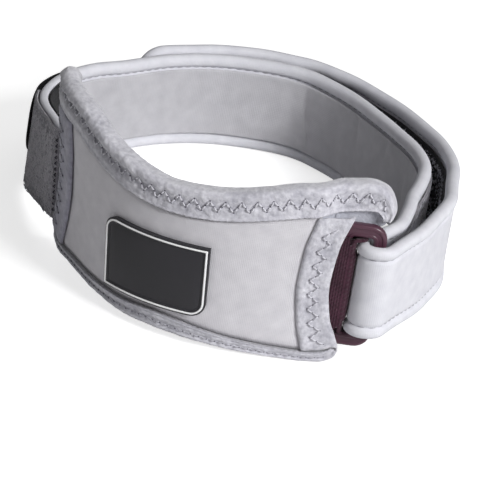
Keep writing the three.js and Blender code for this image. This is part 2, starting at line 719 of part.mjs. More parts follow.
// Distances of a list of rows from its last row.
function distancesFromEnd(rows) {
  const distance = rows.map(() => 0);
  for (let i = rows.length - 2; i >= 0; i--)
    distance[i] = distance[i + 1] + Math.hypot(rows[i + 1].x - rows[i].x, rows[i + 1].y - rows[i].y);
  return distance;
}

// Rows with extra ones near the end, for a rounded tip.
function withTipRows(rows) {
  const [a, b] = rows.slice(-2);
  const blend = (t) => ({
    x: lerp(a.x, b.x, t),
    y: lerp(a.y, b.y, t),
    normal: a.normal.clone().lerp(b.normal, t),
    lean: a.lean.clone().lerp(b.lean, t),
    lift: lerp(a.lift, b.lift, t),
  });
  return [...rows.slice(0, -1), ...[0.3, 0.55, 0.75, 0.9, 1].map(blend)];
}

function strap() {
  const { rows, count } = strapPath;
  const run = withTipRows(rows.slice(0, count.inner + count.turn + count.outer));
  const fromEnd = distancesFromEnd(run);
  const half = STRAP_WIDTH / 2;
  const side = [
    [0, -half],
    [STRAP_HALF_THICK, STRAP_EDGE - half],
    [HEM_HALF_THICK, HEM_WIDTH / 2 - half],
    [STRAP_HALF_THICK, HEM_WIDTH - half],
    [STRAP_HALF_THICK, half - HEM_WIDTH],
    [HEM_HALF_THICK, half - HEM_WIDTH / 2],
    [STRAP_HALF_THICK, half - STRAP_EDGE],
    [0, half],
  ];
  const outline = [...side, ...side.slice(1, -1).reverse().map(([c, h]) => [-c, h])];
  const sections = run.map((row, i) => {
    const reach = halfWidth(half, fromEnd[i], TIP_RADIUS);
    const thickest = fromEnd[i] < TIP_RADIUS + TIP_FLAT ? STRAP_HALF_THICK : HEM_HALF_THICK;
    return outline.map(([c, h]) => {
      const across = Math.sign(c) * Math.min(Math.abs(c), thickest);
      return strapPoint(row, across, half + Math.sign(h) * (Math.abs(h) - half + reach));
    });
  });
  return sweep(sections, outline);
}

// A skin on one face of the strap over some of its rows: side 1 is the grip side, side -1 the smooth side.
function strapSkin(rows, side, roundEnd) {
  const half = STRAP_WIDTH / 2 - HEM_WIDTH - GAP;
  const under = STRAP_HALF_THICK + GAP;
  const top = under + SKIN_THICK;
  const outline = [
    [side * under, -half],
    [side * top, SKIN_BEVEL - half],
    [side * top, half - SKIN_BEVEL],
    [side * under, half],
  ];
  const run = roundEnd ? withTipRows(rows) : rows;
  const fromEnd = distancesFromEnd(run);
  const sections = run.map((row, i) => {
    const reach = roundEnd ? halfWidth(half, fromEnd[i], TIP_RADIUS) : half;
    return outline.map(([c, h]) => strapPoint(row, c, STRAP_WIDTH / 2 + (h * reach) / half));
  });
  return sweep(sections, outline);
}

const endTabRows = Math.round(END_TAB_LENGTH / STEP) + 1;

function strapLining() {
  const { rows, count } = strapPath;
  return strapSkin(rows.slice(endTabRows + 1, count.inner - 1), -1, false);
}

function loopPanel() {
  const { rows, count } = strapPath;
  return strapSkin(rows.slice(1, count.inner - 2), 1, false);
}

function hookPanel() {
  const { rows, count } = strapPath;
  const first = count.inner + count.turn + Math.round(GRIP_FROM * count.outer) + 1;
  return strapSkin(rows.slice(first), 1, true);
}

function endTab() {
  return strapSkin(strapPath.rows.slice(1, endTabRows + 1), -1, true);
}

const COLOURS = {
  pad_core: 0xb9b9c4,
  pad_face: 0xdcdbe0,
  binding_top: 0xc3c3ce,
  binding_bottom: 0xbcbcc8,
  binding_right: 0xbfbfcb,
  binding_left: 0xbfbfcb,
  badge: 0x262529,
  badge_border: 0xf0f0f2,
  ring: 0x573f4c,
  ring_webbing: 0x4a2a38,
  strap: 0xececf1,
  strap_lining: 0xbab9bf,
  loop_panel: 0x8f8f96,
  hook_panel: 0x333336,
  end_tab: 0x2a2a2d,
};

// Moves the finished group so that the middle of its footprint is the origin and it stands on z = 0.
function seat(group) {
  group.updateMatrixWorld(true);
  const box = new THREE.Box3().setFromObject(group, true);
  group.position.set(-(box.min.x + box.max.x) / 2, -(box.min.y + box.max.y) / 2, -box.min.z);
}

const shapes = {
  pad_core: padCore(),
  pad_face: padFace(),
  binding_top: bindingTop(),
  binding_bottom: bindingBottom(),
  binding_right: sideTape(1),
  binding_left: sideTape(-1),
  badge: badge(),
  badge_border: badgeBorder(),
  ring: ring(),
  ring_webbing: ringWebbing(),
  strap: strap(),
  strap_lining: strapLining(),
  loop_panel: loopPanel(),
  hook_panel: hookPanel(),
  end_tab: endTab(),
};
const root = new THREE.Group();
for (const [name, geometry] of Object.entries(shapes)) {
  const material = new THREE.MeshStandardMaterial({ color: COLOURS[name], roughness: 0.8 });
  const mesh = new THREE.Mesh(geometry, material);
  mesh.name = name;
  root.add(mesh);
}
seat(root);

export default root;
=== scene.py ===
"""A knee strap: a padded front panel, and one long band that closes on itself through a moulded ring.

Lengths in the classes are in millimetres. Each cloth piece is cut flat as a grid blank and then laid
along the pad or along the band, so that its weave and its seams follow it. On the pad, u runs along
it, o outwards from it and z up from its middle line. On the band, s runs along it, c across it
towards its grip side and h up from its lower edge.
"""

import logging
import math
from dataclasses import dataclass
from enum import Enum
from functools import cached_property
from typing import Callable, Optional, Sequence

import bpy
import numpy as np
from mathutils import Matrix, Vector


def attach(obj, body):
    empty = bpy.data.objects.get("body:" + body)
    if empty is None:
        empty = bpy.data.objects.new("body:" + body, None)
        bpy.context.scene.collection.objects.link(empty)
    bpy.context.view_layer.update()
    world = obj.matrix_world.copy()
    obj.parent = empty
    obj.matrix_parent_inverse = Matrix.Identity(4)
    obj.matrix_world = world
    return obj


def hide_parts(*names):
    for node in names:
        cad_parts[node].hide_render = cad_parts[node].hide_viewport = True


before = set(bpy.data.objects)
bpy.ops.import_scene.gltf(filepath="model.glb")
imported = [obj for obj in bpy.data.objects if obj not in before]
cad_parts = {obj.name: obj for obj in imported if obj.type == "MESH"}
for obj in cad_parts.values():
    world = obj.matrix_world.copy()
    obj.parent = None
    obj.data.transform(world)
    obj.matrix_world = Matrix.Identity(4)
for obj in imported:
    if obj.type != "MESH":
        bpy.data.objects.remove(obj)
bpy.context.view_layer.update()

logging.basicConfig(level=logging.INFO, format="%(message)s")
log = logging.getLogger("knee_strap")

Array = np.ndarray
Colour = tuple[int, int, int]
Piece = bpy.types.Object
Socket = bpy.types.NodeSocket
Tree = bpy.types.NodeTree
Table = Sequence[Sequence[float]]
Place = Callable[[Array, Array, Array], Array]
Relief = Callable[[Array, Array], Array]

MM = 0.001
GAP = 0.3
SHIFT = np.array([10.36, -18.81, 0.01])  # from the middle of the loop to the middle of the footprint


# ---- curves and tables


def smoothstep(x: Array, low: float, high: float) -> Array:
    """A smooth step from 0 at low to 1 at high."""
    t = np.clip((np.asarray(x, float) - low) / (high - low), 0, 1)
    return t * t * (3 - 2 * t)


def hill(x: Array, width: float, power: int = 2) -> Array:
    """A smooth hill, 1 at 0 and mostly gone past this width, the flatter the higher its power."""
    return np.exp(-((x / width) ** power))


def table_at(table: Table, column: int, x: Array) -> Array:
    """Values of a table's column along a smooth curve that doesn't overshoot.

    Args:
        table: Rows whose first column is the place, in rising order.
        column: Which column is read.
        x: The places.

    Returns:
        The column's value at each place.
    """
    at, value = np.array(table, float)[:, [0, column]].T
    slope = np.diff(value) / np.diff(at)
    both, total = slope[:-1] * slope[1:], slope[:-1] + slope[1:]
    total[np.abs(total) < 1e-12] = 1
    tangent = np.concatenate([slope[:1], np.where(both > 0, 2 * both / total, 0), slope[-1:]])
    x = np.clip(np.asarray(x, float), at[0], at[-1])
    i = np.clip(np.searchsorted(at, x, side="right") - 1, 0, len(slope) - 1)
    width = at[i + 1] - at[i]
    t = (x - at[i]) / width
    bend = (t**3 - 2 * t**2 + t) * tangent[i] + (t**3 - t**2) * tangent[i + 1]
    return value[i] + (value[i + 1] - value[i]) * (3 * t**2 - 2 * t**3) + width * bend


def smooth_curve(points: Array, shares: Array) -> Array:
    """Points of a smooth curve through the given ones.

    Args:
        points: The points that it passes, one row each.
        shares: Places on it, from 0 to 1.

    Returns:
        One row for each share.
    """
    points = np.asarray(points, float)
    padded = np.vstack([2 * points[0] - points[1], points, 2 * points[-1] - points[-2]])
    at = shares * (len(points) - 1)
    i = np.minimum(at.astype(int), len(points) - 2)
    w = (at - i)[:, None]
    p0, p1, p2, p3 = (padded[i + k] for k in range(4))
    d0, d1, d2 = (
        np.maximum(((b - a) ** 2).sum(1, keepdims=True), 1e-9) ** 0.25
        for a, b in ((p0, p1), (p1, p2), (p2, p3))
    )
    t1 = d1 * ((p1 - p0) / d0 - (p2 - p0) / (d0 + d1) + (p2 - p1) / d1)
    t2 = d1 * ((p2 - p1) / d1 - (p3 - p1) / (d1 + d2) + (p3 - p2) / d2)
    square, cube = -3 * p1 + 3 * p2 - 2 * t1 - t2, 2 * p1 - 2 * p2 + t1 + t2
    return p1 + t1 * w + square * w**2 + cube * w**3


def along(points: Array) -> Array:
    """Lengths along a chain of points in plan, from its first one."""
    steps = np.hypot(*np.diff(points[:, :2], axis=0).T)
    return np.concatenate([[0.0], np.cumsum(steps)])


def spaced(points: Array, spacing: float) -> Array:
    """Evenly spaced points along the smooth curve through the given ones.

    Args:
        points: The points that the curve passes.
        spacing: About how far apart the new ones are.

    Returns:
        One row for each new point.
    """
    fine = smooth_curve(points, np.linspace(0, 1, 4000))
    length = along(fine)
    even = np.linspace(0, length[-1], round(length[-1] / spacing) + 1)
    return np.stack([np.interp(even, length, fine[:, k]) for k in range(points.shape[1])], 1)


def columns(*values: Array) -> Array:
    """A table of these columns, each an array or one number for all of its rows."""
    return np.stack(np.broadcast_arrays(*values), 1)


def ripple(a: Array, b: Array, length: float, seed: int) -> Array:
    """A smooth uneven field over two coordinates, mostly between -1 and 1.

    Args:
        a: First coordinate.
        b: Second coordinate.
        length: About how far apart its crests are.
        seed: Which field it is.

    Returns:
        The field's value at each place.
    """
    rng = np.random.default_rng(seed)
    total = np.zeros(np.broadcast(a, b).shape)
    for _ in range(12):
        turn, phase = rng.uniform(0, 2 * math.pi, 2)
        rate = 2 * math.pi / (length * rng.uniform(0.7, 1.7))
        total += np.sin(rate * (a * math.cos(turn) + b * math.sin(turn)) + phase)
    return total / 4


# ---- the object's own forms


class Form:
    """A bend that flat coordinates are laid along. Its plan gives millimetres from the loop's middle."""

    def place(self, *flat: Array) -> Array:
        """Points for three flat coordinates, in metres in the frame of the whole object."""
        spread = np.broadcast_arrays(*(np.asarray(v, float) for v in flat))
        return (self.plan(*spread) + SHIFT) * MM


@dataclass(frozen=True)
class PadForm(Form):
    """The bend of the padded panel."""

    half: float = 69.0
    flap_rise: float = 33.2
    drop: float = 29.4
    front: float = 55.0
    curl: float = 1.2048
    relax: float = 0.7
    bend_length: float = 60.0
    left_turn: float = 0.72
    left_flap: float = 0.965
    lean: float = math.tan(math.radians(5))
    foam_end: float = 0.743
    tuck_depth: float = 4.3
    tuck_over: tuple[float, float] = (0.65, 0.797)
    tuck_rise: float = 0.42

    def angle(self, u: Array) -> Array:
        """Direction of the panel at a length along it, in radians.

        Args:
            u: The lengths.

        Returns:
            An angle for each.
        """
        v = u / self.bend_length
        left = self.left_turn * smoothstep(-u / self.half, 0.66, 1)
        return self.curl * v - self.relax * v**3 - left

    @cached_property
    def curve(self) -> tuple[Array, Array, Array]:
        """The reference curve in plan, as lengths, x and y."""
        step = 0.5
        reach = np.arange(0.0, self.half * 1.2, step)
        ends = []
        for side in (-1, 1):
            angle = self.angle(side * (reach + step / 2))
            x, y = (
                np.concatenate([[0], np.cumsum(side * step * way)]) for way in (np.cos(angle), np.sin(angle))
            )
            ends.append((side * step * np.arange(len(x)), x, y - self.front))
        return tuple(np.concatenate([a[:0:-1], b]) for a, b in zip(*ends))

    def plan(self, u: Array, o: Array, z: Array) -> Array:
        """Points of the panel in millimetres, from the middle of the loop.

        Args:
            u: Lengths along it.
            o: Heights above its face.
            z: Heights above its middle line.

        Returns:
            One row of three for each.
        """
        lengths, xs, ys = self.curve
        angle, out = self.angle(u), o + z * self.lean
        x = np.interp(u, lengths, xs) + np.sin(angle) * out
        y = np.interp(u, lengths, ys) - np.cos(angle) * out
        return np.stack([x, y, z + self.drop], -1)

    def tuck(self, u: Array, z: Array) -> Array:
        """How far the right flap's foam and tape step in behind the ring."""
        ends = smoothstep(u / self.half, *self.tuck_over)
        return -self.tuck_depth * ends * smoothstep(z / self.flap_rise, 0, self.tuck_rise)


PAD = PadForm()


@dataclass(frozen=True)
class RingForm(Form):
    """The flat frame of the ring at the panel's right end: x along the panel, o outwards, z up."""

    seat: float = 0.87
    height: float = 42.8
    middle: float = -1.5
    thick: float = 3.0
    face: float = -1.2
    left: float = -5.5
    right: float = 8.35
    inner_bar: float = 3.3
    outer_bar: float = 4.0
    bevel: float = 0.8
    corner: float = 5.0
    left_corner: float = 2.2
    slot_height: float = 34.2
    slot_corner: float = 1.0

    def plan(self, x: Array, o: Array, z: Array) -> Array:
        """Points in millimetres, from the middle of the loop.

        Args:
            x: Places along the panel.
            o: Places outwards.
            z: Heights above its middle line.

        Returns:
            One row of three for each.
        """
        at = self.seat * PAD.half
        seat, angle = PAD.plan(at, 0.0, 0.0), PAD.angle(at)
        c, s = math.cos(angle), math.sin(angle)
        out = o + z * PAD.lean
        return np.stack([seat[0] + c * x + s * out, seat[1] + s * x - c * out, z + PAD.drop], -1)

    @property
    def bar_middle(self) -> Array:
        """Middle of the outer bar in plan, at the panel's middle line."""
        return self.plan(self.right - self.outer_bar / 2, self.face - self.thick / 2, 0.0)[:2]


RING = RingForm()

# Middle lines of the band in plan. Columns: share of loop_left, share of loop_back.
INNER_RUN = (
    (-0.649, -0.271), (-0.708, -0.218), (-0.768, -0.165), (-0.825, -0.112), (-0.881, -0.048),
    (-0.924, 0.027), (-0.952, 0.106), (-0.968, 0.191), (-0.964, 0.287), (-0.935, 0.383),
    (-0.881, 0.468), (-0.78, 0.65), (-0.643, 0.787), (-0.45, 0.886), (-0.333, 0.911),
    (-0.22, 0.895), (-0.095, 0.855), (0.042, 0.782), (0.196, 0.686), (0.333, 0.59),
    (0.435, 0.479), (0.506, 0.33), (0.542, 0.218), (0.595, 0.096), (0.642, -0.053),
)  # fmt: skip
OUTER_RUN = (
    (0.738, -0.15), (0.73, -0.032), (0.706, 0.101), (0.667, 0.266), (0.595, 0.404),
    (0.512, 0.553), (0.375, 0.702), (0.256, 0.787), (0.105, 0.88), (-0.03, 0.94),
    (-0.167, 0.985), (-0.274, 0.997), (-0.363, 0.997), (-0.452, 0.973), (-0.542, 0.943),
    (-0.637, 0.89), (-0.702, 0.843), (-0.774, 0.77), (-0.827, 0.713), (-0.865, 0.66),
    (-0.9, 0.607),
)  # fmt: skip


@dataclass(frozen=True)
class BandForm(Form):
    """The path of the band."""

    loop_left: float = 84.0
    loop_back: float = 94.0
    turn_radius: float = 4.6
    tip_radius: float = 9.0
    coarse: float = 7.0
    fine: float = 1.0
    approach: float = 9.0
    start_past: tuple[float, float] = (1.1, 4.8)
    depth: float = -2.6
    tab_end: float = 50.0
    tab_lift: float = 2.3
    tab_spacing: float = 6.4
    tab_close: float = 21.0
    level: float = 4.3
    slope: tuple[float, float] = (0.083, -0.041)
    blend: float = 1.2
    right_rise: tuple[float, float] = (1.4, 22.0)
    left_rise: tuple[float, float] = (8.3, 47.0)
    lean_reach: float = 26.0

    @property
    def start(self) -> Array:
        """The band's first two points in plan, past the end of the foam."""
        ends = [-PAD.foam_end * PAD.half - past for past in self.start_past]
        return np.array([PAD.plan(u, self.depth, 0.0)[:2] for u in ends])

    @cached_property
    def runs(self) -> dict[str, Array]:
        """Points in plan of the inner run, the turn round the bar, the outer run and the hook tab."""
        bar, scale = RING.bar_middle, np.array([self.loop_left, self.loop_back])
        near, far = bar - [self.turn_radius, 0], bar + [self.turn_radius, 0]
        knots = [self.start, np.array(INNER_RUN) * scale, near + [0, self.approach], near]
        inner = spaced(np.vstack(knots), self.fine)
        angle = np.pi * (1 + np.arange(1, 24) / 24)
        turn = bar + self.turn_radius * columns(np.cos(angle), np.sin(angle))
        outer = spaced(np.vstack([far, np.array(OUTER_RUN) * scale]), self.fine)
        return {"inner": inner, "turn": turn, "outer": outer, "tab": self.tab(inner, outer)}

    def tab(self, inner: Array, outer: Array) -> Array:
        """Points of the hook tab, which closes up to the inner run and follows its outside.

        Args:
            inner: Points of the inner run.
            outer: Points of the outer run, whose last one is where the tab starts.

        Returns:
            Points in plan.
        """
        gaps = np.hypot(*(inner - outer[-1]).T)
        nearest = int(np.argmin(gaps))
        lengths = along(inner)
        at = lengths[nearest]
        s = np.arange(at - self.fine, self.tab_end, -self.fine)
        closing = np.clip((at - s) / self.tab_close, 0, 1)
        away = gaps[nearest] + (self.tab_spacing - gaps[nearest]) * closing
        place, normal = (
            np.stack([np.interp(s, lengths, column) for column in part.T], 1)
            for part in (inner, self.grip(inner))
        )
        return place + normal * away[:, None]

    @staticmethod
    def grip(plan: Array) -> Array:
        """Unit normals of the grip side along a chain of points in plan.

        Args:
            plan: The points.

        Returns:
            The normals.
        """
        way = np.gradient(plan, axis=0)
        normal = columns(-way[:, 1], way[:, 0])
        return normal / np.linalg.norm(normal, axis=1, keepdims=True)

    @cached_property
    def rows(self) -> dict[str, Array]:
        """Lengths, places, normals, leans and lifts of all the points along the band."""
        plan = np.vstack(list(self.runs.values()))
        from_bar, from_start = (np.hypot(*(plan - p).T) for p in (RING.bar_middle, self.start[0]))

        def outwards(u: float) -> Array:
            """The panel's lean at a length along it, as a step in plan for each millimetre up."""
            angle = float(PAD.angle(u))
            return np.array([math.sin(angle), -math.cos(angle)]) * PAD.lean

        lean = outwards(RING.seat * PAD.half) * hill(from_bar, self.lean_reach, 4)[:, None]
        lean = lean + outwards(-PAD.foam_end * PAD.half) * hill(from_start, self.lean_reach)[:, None]
        plane = self.level + plan @ np.array(self.slope)
        lift = (plane + np.sqrt(plane**2 + self.blend**2)) / 2
        for (height, reach), gap in ((self.right_rise, from_bar), (self.left_rise, from_start)):
            lift = lift + height * hill(gap, reach)
        on_tab = len(self.runs["tab"])
        share = (np.arange(len(plan)) - (len(plan) - on_tab)) / on_tab
        lift = lift + self.tab_lift * smoothstep(share, 0, 0.7)
        return {"s": along(plan), "plan": plan, "normal": self.grip(plan), "lean": lean, "lift": lift}

    @cached_property
    def marks(self) -> dict[str, float]:
        """Lengths along the band at which the inner run, the turn, the outer run and the tab end."""
        counts = np.cumsum([len(run) for run in self.runs.values()])
        return {name: float(self.rows["s"][n - 1]) for name, n in zip(self.runs, counts)}

    def plan(self, s: Array, c: Array, h: Array) -> Array:
        """Points of the band in millimetres, from the middle of the loop.

        Args:
            s: Lengths along it.
            c: Places across it.
            h: Heights above its lower edge.

        Returns:
            One row of three for each.
        """
        lengths, *parts = self.rows.values()
        plan, normal, lean, lift = (
            np.stack([np.interp(s, lengths, column) for column in part.reshape(len(lengths), -1).T], -1)
            for part in parts
        )
        z = lift + h[..., None]
        return np.concatenate([plan + normal * c[..., None] + lean * (z - PAD.drop), z], -1)


BAND = BandForm()


# ---- making meshes


def activate(obj: Optional[Piece] = None, mode: str = "OBJECT") -> None:
    """Selects this piece alone, or nothing, and goes to object mode or edit mode.

    Args:
        obj: The piece, which is made active.
        mode: OBJECT, or EDIT with everything in the piece selected.
    """
    if bpy.context.object is not None and bpy.context.object.mode != "OBJECT":
        bpy.ops.object.mode_set(mode="OBJECT")
    bpy.ops.object.select_all(action="DESELECT")
    if obj is not None:
        obj.select_set(True)
        bpy.context.view_layer.objects.active = obj
    if mode == "EDIT":
        bpy.ops.object.mode_set(mode="EDIT")
        bpy.ops.mesh.select_all(action="SELECT")


def select_all() -> None:
    """Selects, in edit mode, all of the piece."""
    bpy.ops.mesh.select_all(action="SELECT")


def select_where(obj: Piece, kind: str, test: Callable[[object], bool]) -> None:
    """Selects, in edit mode, only what passes a test.

    Args:
        obj: The piece, in edit mode.
        kind: Its vertices or its polygons.
        test: Whether one of them is selected.
    """
    bpy.ops.mesh.select_all(action="DESELECT")
    bpy.ops.object.mode_set(mode="OBJECT")
    for item in getattr(obj.data, kind):
        item.select = test(item)
    bpy.ops.object.mode_set(mode="EDIT")


def outwards(obj: Piece) -> None:
    """Turns a closed piece's faces outwards."""
    activate(obj, "EDIT")
    bpy.ops.mesh.normals_make_consistent(inside=False)
    activate()


def apply_modifier(obj: Piece, kind: str, **settings: object) -> None:
    """Adds a modifier with these settings and applies it.

    Args:
        obj: The piece.
        kind: The modifier's type.
        settings: Values of its properties.
    """
    activate(obj)
    modifier = obj.modifiers.new(kind.title(), kind)
    for name, value in settings.items():
        setattr(modifier, name, value)
    bpy.ops.object.modifier_apply(modifier=modifier.name)


def added(name: str) -> Piece:
    """The primitive that was just added, under its name."""
    obj = bpy.context.active_object
    obj.name = obj.data.name = name
    return obj


def points_of(obj: Piece) -> Array:
    """Coordinates of a piece's vertices, one row each."""
    co = np.empty(len(obj.data.vertices) * 3)
    obj.data.vertices.foreach_get("co", co)
    return co.reshape(-1, 3)


def move(obj: Piece, points: Array) -> None:
    """Moves a piece's vertices to these places."""
    obj.data.vertices.foreach_set("co", np.asarray(points, np.float32).ravel())
    obj.data.update()


def plate(name: str, width: float, height: float) -> Piece:
    """A flat plate round the origin, in edit mode with all of it selected.

    Args:
        name: The piece's name.
        width: Its size along x.
        height: Its size along y.

    Returns:
        The piece.
    """
    activate()
    bpy.ops.mesh.primitive_plane_add(size=1.0)
    obj = added(name)
    activate(obj, "EDIT")
    bpy.ops.transform.resize(value=(width, height, 1))
    return obj


def raise_by(height: float) -> None:
    """Extrudes what is selected upwards."""
    bpy.ops.mesh.extrude_region_move(TRANSFORM_OT_translate={"value": (0, 0, height)})


class Blank:
    """A flat grid of cloth, with a vertex row at each of its lengths and a column at each of its widths."""

    def __init__(self, name: str, lengths: Array, widths: Array) -> None:
        """Cuts the blank.

        Args:
            name: The piece's name.
            lengths: Lengths of its rows along the piece, in millimetres.
            widths: Places of its columns across the piece, in millimetres.
        """
        activate()
        columns, rows = len(lengths) - 1, len(widths) - 1
        bpy.ops.mesh.primitive_grid_add(x_subdivisions=columns, y_subdivisions=rows, size=1.0)
        self.obj = added(name)
        co = points_of(self.obj)
        self.row = np.rint((co[:, 0] + 0.5) * columns).astype(int)
        self.column = np.rint((co[:, 1] + 0.5) * rows).astype(int)
        self.map(np.asarray(lengths, float)[self.row], np.asarray(widths, float)[self.column])

    def map(self, across: Array, up: Array) -> None:
        """Sets the piece's UV map from two lengths at each vertex, in millimetres.

        Args:
            across: The first length.
            up: The second.
        """
        data = self.obj.data
        corner = np.empty(len(data.loops), int)
        data.loops.foreach_get("vertex_index", corner)
        uv = columns(across, up)[corner] * MM
        data.uv_layers[0].data.foreach_set("uv", uv.astype(np.float32).ravel())

    def lay(self, points: Array) -> "Blank":
        """Moves the vertices to their places, in metres."""
        move(self.obj, points)
        return self

    def painted_shade(self, amount: Array) -> None:
        """Keeps, from 0 to 1 at each vertex, how much painted shade darkens the cloth in a seam or a fold."""
        attribute = self.obj.data.attributes.new("painted_shade", "FLOAT", "POINT")
        attribute.data.foreach_set("value", np.clip(amount, 0, 1).astype(np.float32))

    def close(self) -> Piece:
        """Joins the blank's edges where they meet and fills its open ends, which makes it solid."""
        activate(self.obj, "EDIT")
        bpy.ops.mesh.remove_doubles(threshold=1e-6)
        select_all()
        bpy.ops.mesh.fill_holes(sides=0)
        outwards(self.obj)
        return self.obj

    def wall(self, thickness: float, turned: bool = False) -> Piece:
        """Gives the cloth its thickness behind the laid face.

        Args:
            thickness: Of the cloth, in millimetres.
            turned: Whether the blank was laid with its face downwards, and is turned over first.

        Returns:
            The piece.
        """
        if turned:
            activate(self.obj, "EDIT")
            bpy.ops.mesh.flip_normals()
        apply_modifier(self.obj, "SOLIDIFY", thickness=thickness * MM, offset=-1)
        outwards(self.obj)
        return self.obj


def repeated(name: str, pattern: Piece, middles: Array, axes: Sequence[Array]) -> Piece:
    """One mesh of many copies of a small shape, which is then removed.

    Args:
        name: The new piece's name.
        pattern: The small shape, about a unit across.
        middles: Where each copy goes, in metres.
        axes: For each of the shape's own axes, one vector for each copy, in metres.

    Returns:
        The new piece.
    """
    co = points_of(pattern)
    points = middles[:, None, :] + sum(co[None, :, k, None] * axes[k][:, None, :] for k in range(3))
    faces = [list(p.vertices) for p in pattern.data.polygons]
    every = [[v + n * len(co) for v in face] for n in range(len(middles)) for face in faces]
    bpy.data.objects.remove(pattern, do_unlink=True)
    mesh = bpy.data.meshes.new(name)
    mesh.from_pydata(points.reshape(-1, 3).tolist(), [], every)
    mesh.uv_layers.new(name="UVMap")
    obj = bpy.data.objects.new(name, mesh)
    bpy.context.collection.objects.link(obj)
    return obj


def ball(segments: int, rings: int) -> Piece:
    """A small coarse ball, a unit across."""
    activate()
    bpy.ops.mesh.primitive_uv_sphere_add(segments=segments, ring_count=rings, radius=0.5)
    return bpy.context.active_object


def stitch_pattern() -> Piece:
    """One stitch of thread, a unit long along x, that dips into the cloth at both ends."""
    obj = ball(6, 6)
    activate(obj, "EDIT")
    bpy.ops.transform.rotate(value=math.pi / 2, orient_axis="Y", center_override=(0, 0, 0))
    activate()
    for v in obj.data.vertices:
        v.co.y *= 2 * (1 - 0.3 * abs(2 * v.co.x) ** 3)
        v.co.z = v.co.z * 2 + 0.8 - 2.6 * (2 * v.co.x) ** 2
    return obj


def stitches(name: str, place: Place, starts: Array, ends: Array, radius: float, side: int = 1) -> Piece:
    """Thread along a seam.

    Args:
        name: The piece's name.
        place: Lays flat coordinates on the object.
        starts: Flat coordinates of each stitch's first end, one row each.
        ends: Those of its other end.
        radius: Of the thread, in millimetres.
        side: 1 where the cloth faces up its second coordinate, -1 where it faces down.

    Returns:
        The new piece.
    """
    first, last = place(*starts.T), place(*ends.T)
    middle = (starts + ends) / 2
    up = place(middle[:, 0], middle[:, 1] + side * 0.2, middle[:, 2]) - place(*middle.T)
    way = last - first
    length = np.linalg.norm(way, axis=1, keepdims=True)
    up = up - way * (up * way).sum(1, keepdims=True) / length**2
    up /= np.linalg.norm(up, axis=1, keepdims=True)
    across = np.cross(up, way / length)
    axes = (way * 1.12, across * radius * MM, up * radius * MM)
    return repeated(name, stitch_pattern(), (first + last) / 2, axes)


def fibres(name: str, place: Place, spots: Array, reach: Sequence[float], radius: float, seed: int) -> Piece:
    """Short threads lying every way, each looped up from the cloth.

    Args:
        name: The piece's name.
        place: Lays flat coordinates on the object.
        spots: Flat coordinates of their middles, one row each.
        reach: Their shortest and longest span, in millimetres.
        radius: Of the thread, in millimetres.
        seed: Which random draw it is.

    Returns:
        The new piece.
    """
    rng = np.random.default_rng(seed)
    angle, span = rng.uniform(0, 2 * math.pi, len(spots)), rng.uniform(*reach, len(spots))
    half = columns(np.cos(angle) * span, 0.0, np.sin(angle) * span) / 2
    return stitches(name, place, spots - half, spots + half, radius)


def zigzag(lengths: Array, low: float, high: float) -> tuple[Array, Array]:
    """Ends of the stitches of a zigzag seam, two stitches to each leg.

    Args:
        lengths: Places of its corners along the seam.
        low: Height of the seam's lower side.
        high: Height of its upper side.

    Returns:
        Starts and ends, as rows of length and height.
    """
    corner = columns(lengths, np.where(np.arange(len(lengths)) % 2 == 0, low, high))
    middle = (corner[:-1] + corner[1:]) / 2
    pairs = (corner[:-1], middle), (middle, corner[1:])
    return tuple(np.stack(pair, 1).reshape(-1, 2) for pair in pairs)


# ---- finishes


def linear(colour: Colour) -> tuple[float, float, float, float]:
    """A screen colour as linear light, with an alpha of 1."""
    parts = [v / 255 for v in colour]
    return (*(p / 12.92 if p <= 0.04045 else ((p + 0.055) / 1.055) ** 2.4 for p in parts), 1.0)


class Nodes:
    """Adds nodes to one shader tree and joins them."""

    def __init__(self, tree: Tree) -> None:
        """Starts on a tree."""
        self.tree = tree

    def feed(self, node: bpy.types.Node, inputs: dict) -> bpy.types.Node:
        """Gives a node its inputs.

        Args:
            node: The node.
            inputs: For each input, by name or number, a value or another node's output.

        Returns:
            The same node.
        """
        for name, value in inputs.items():
            if isinstance(value, Socket):
                self.tree.links.new(value, node.inputs[name])
            else:
                node.inputs[name].default_value = value
        return node

    def add(self, kind: str, inputs: Optional[dict] = None, **settings: object) -> bpy.types.NodeOutputs:
        """Adds a node.

        Args:
            kind: Its type, without the word ShaderNode.
            inputs: Its inputs, as feed takes them.
            settings: Values of its properties.

        Returns:
            Its outputs.
        """
        node = self.tree.nodes.new("ShaderNode" + kind)
        for name, value in settings.items():
            setattr(node, name, value)
        return self.feed(node, inputs or {}).outputs

    def sum(self, operation: str, a: object, b: object = 0.0) -> Socket:
        """The output of a Math node."""
        return self.add("Math", {0: a, 1: b}, operation=operation)[0]

    def plus(self, a: object, b: object) -> Socket:
        """Two values added."""
        return self.sum("ADD", a, b)

    def times(self, a: object, b: object) -> Socket:
        """Two values multiplied."""
        return self.sum("MULTIPLY", a, b)

    def wave(self, a: object, rate: float) -> Socket:
        """Sine of a value times a rate."""
        return self.sum("SINE", self.times(a, rate))

    def blend(self, share: object, a: object, b: object, mode: str = "MIX") -> Socket:
        """The output of a colour Mix node."""
        return self.add("Mix", {"Factor": share, 6: a, 7: b}, data_type="RGBA", blend_type=mode)[2]

    def noise(self, vector: object, scale: object, detail: float = 2.0) -> Socket:
        """The value of a Noise Texture."""
        return self.add("TexNoise", {"Vector": vector, "Scale": scale, "Detail": detail})[0]


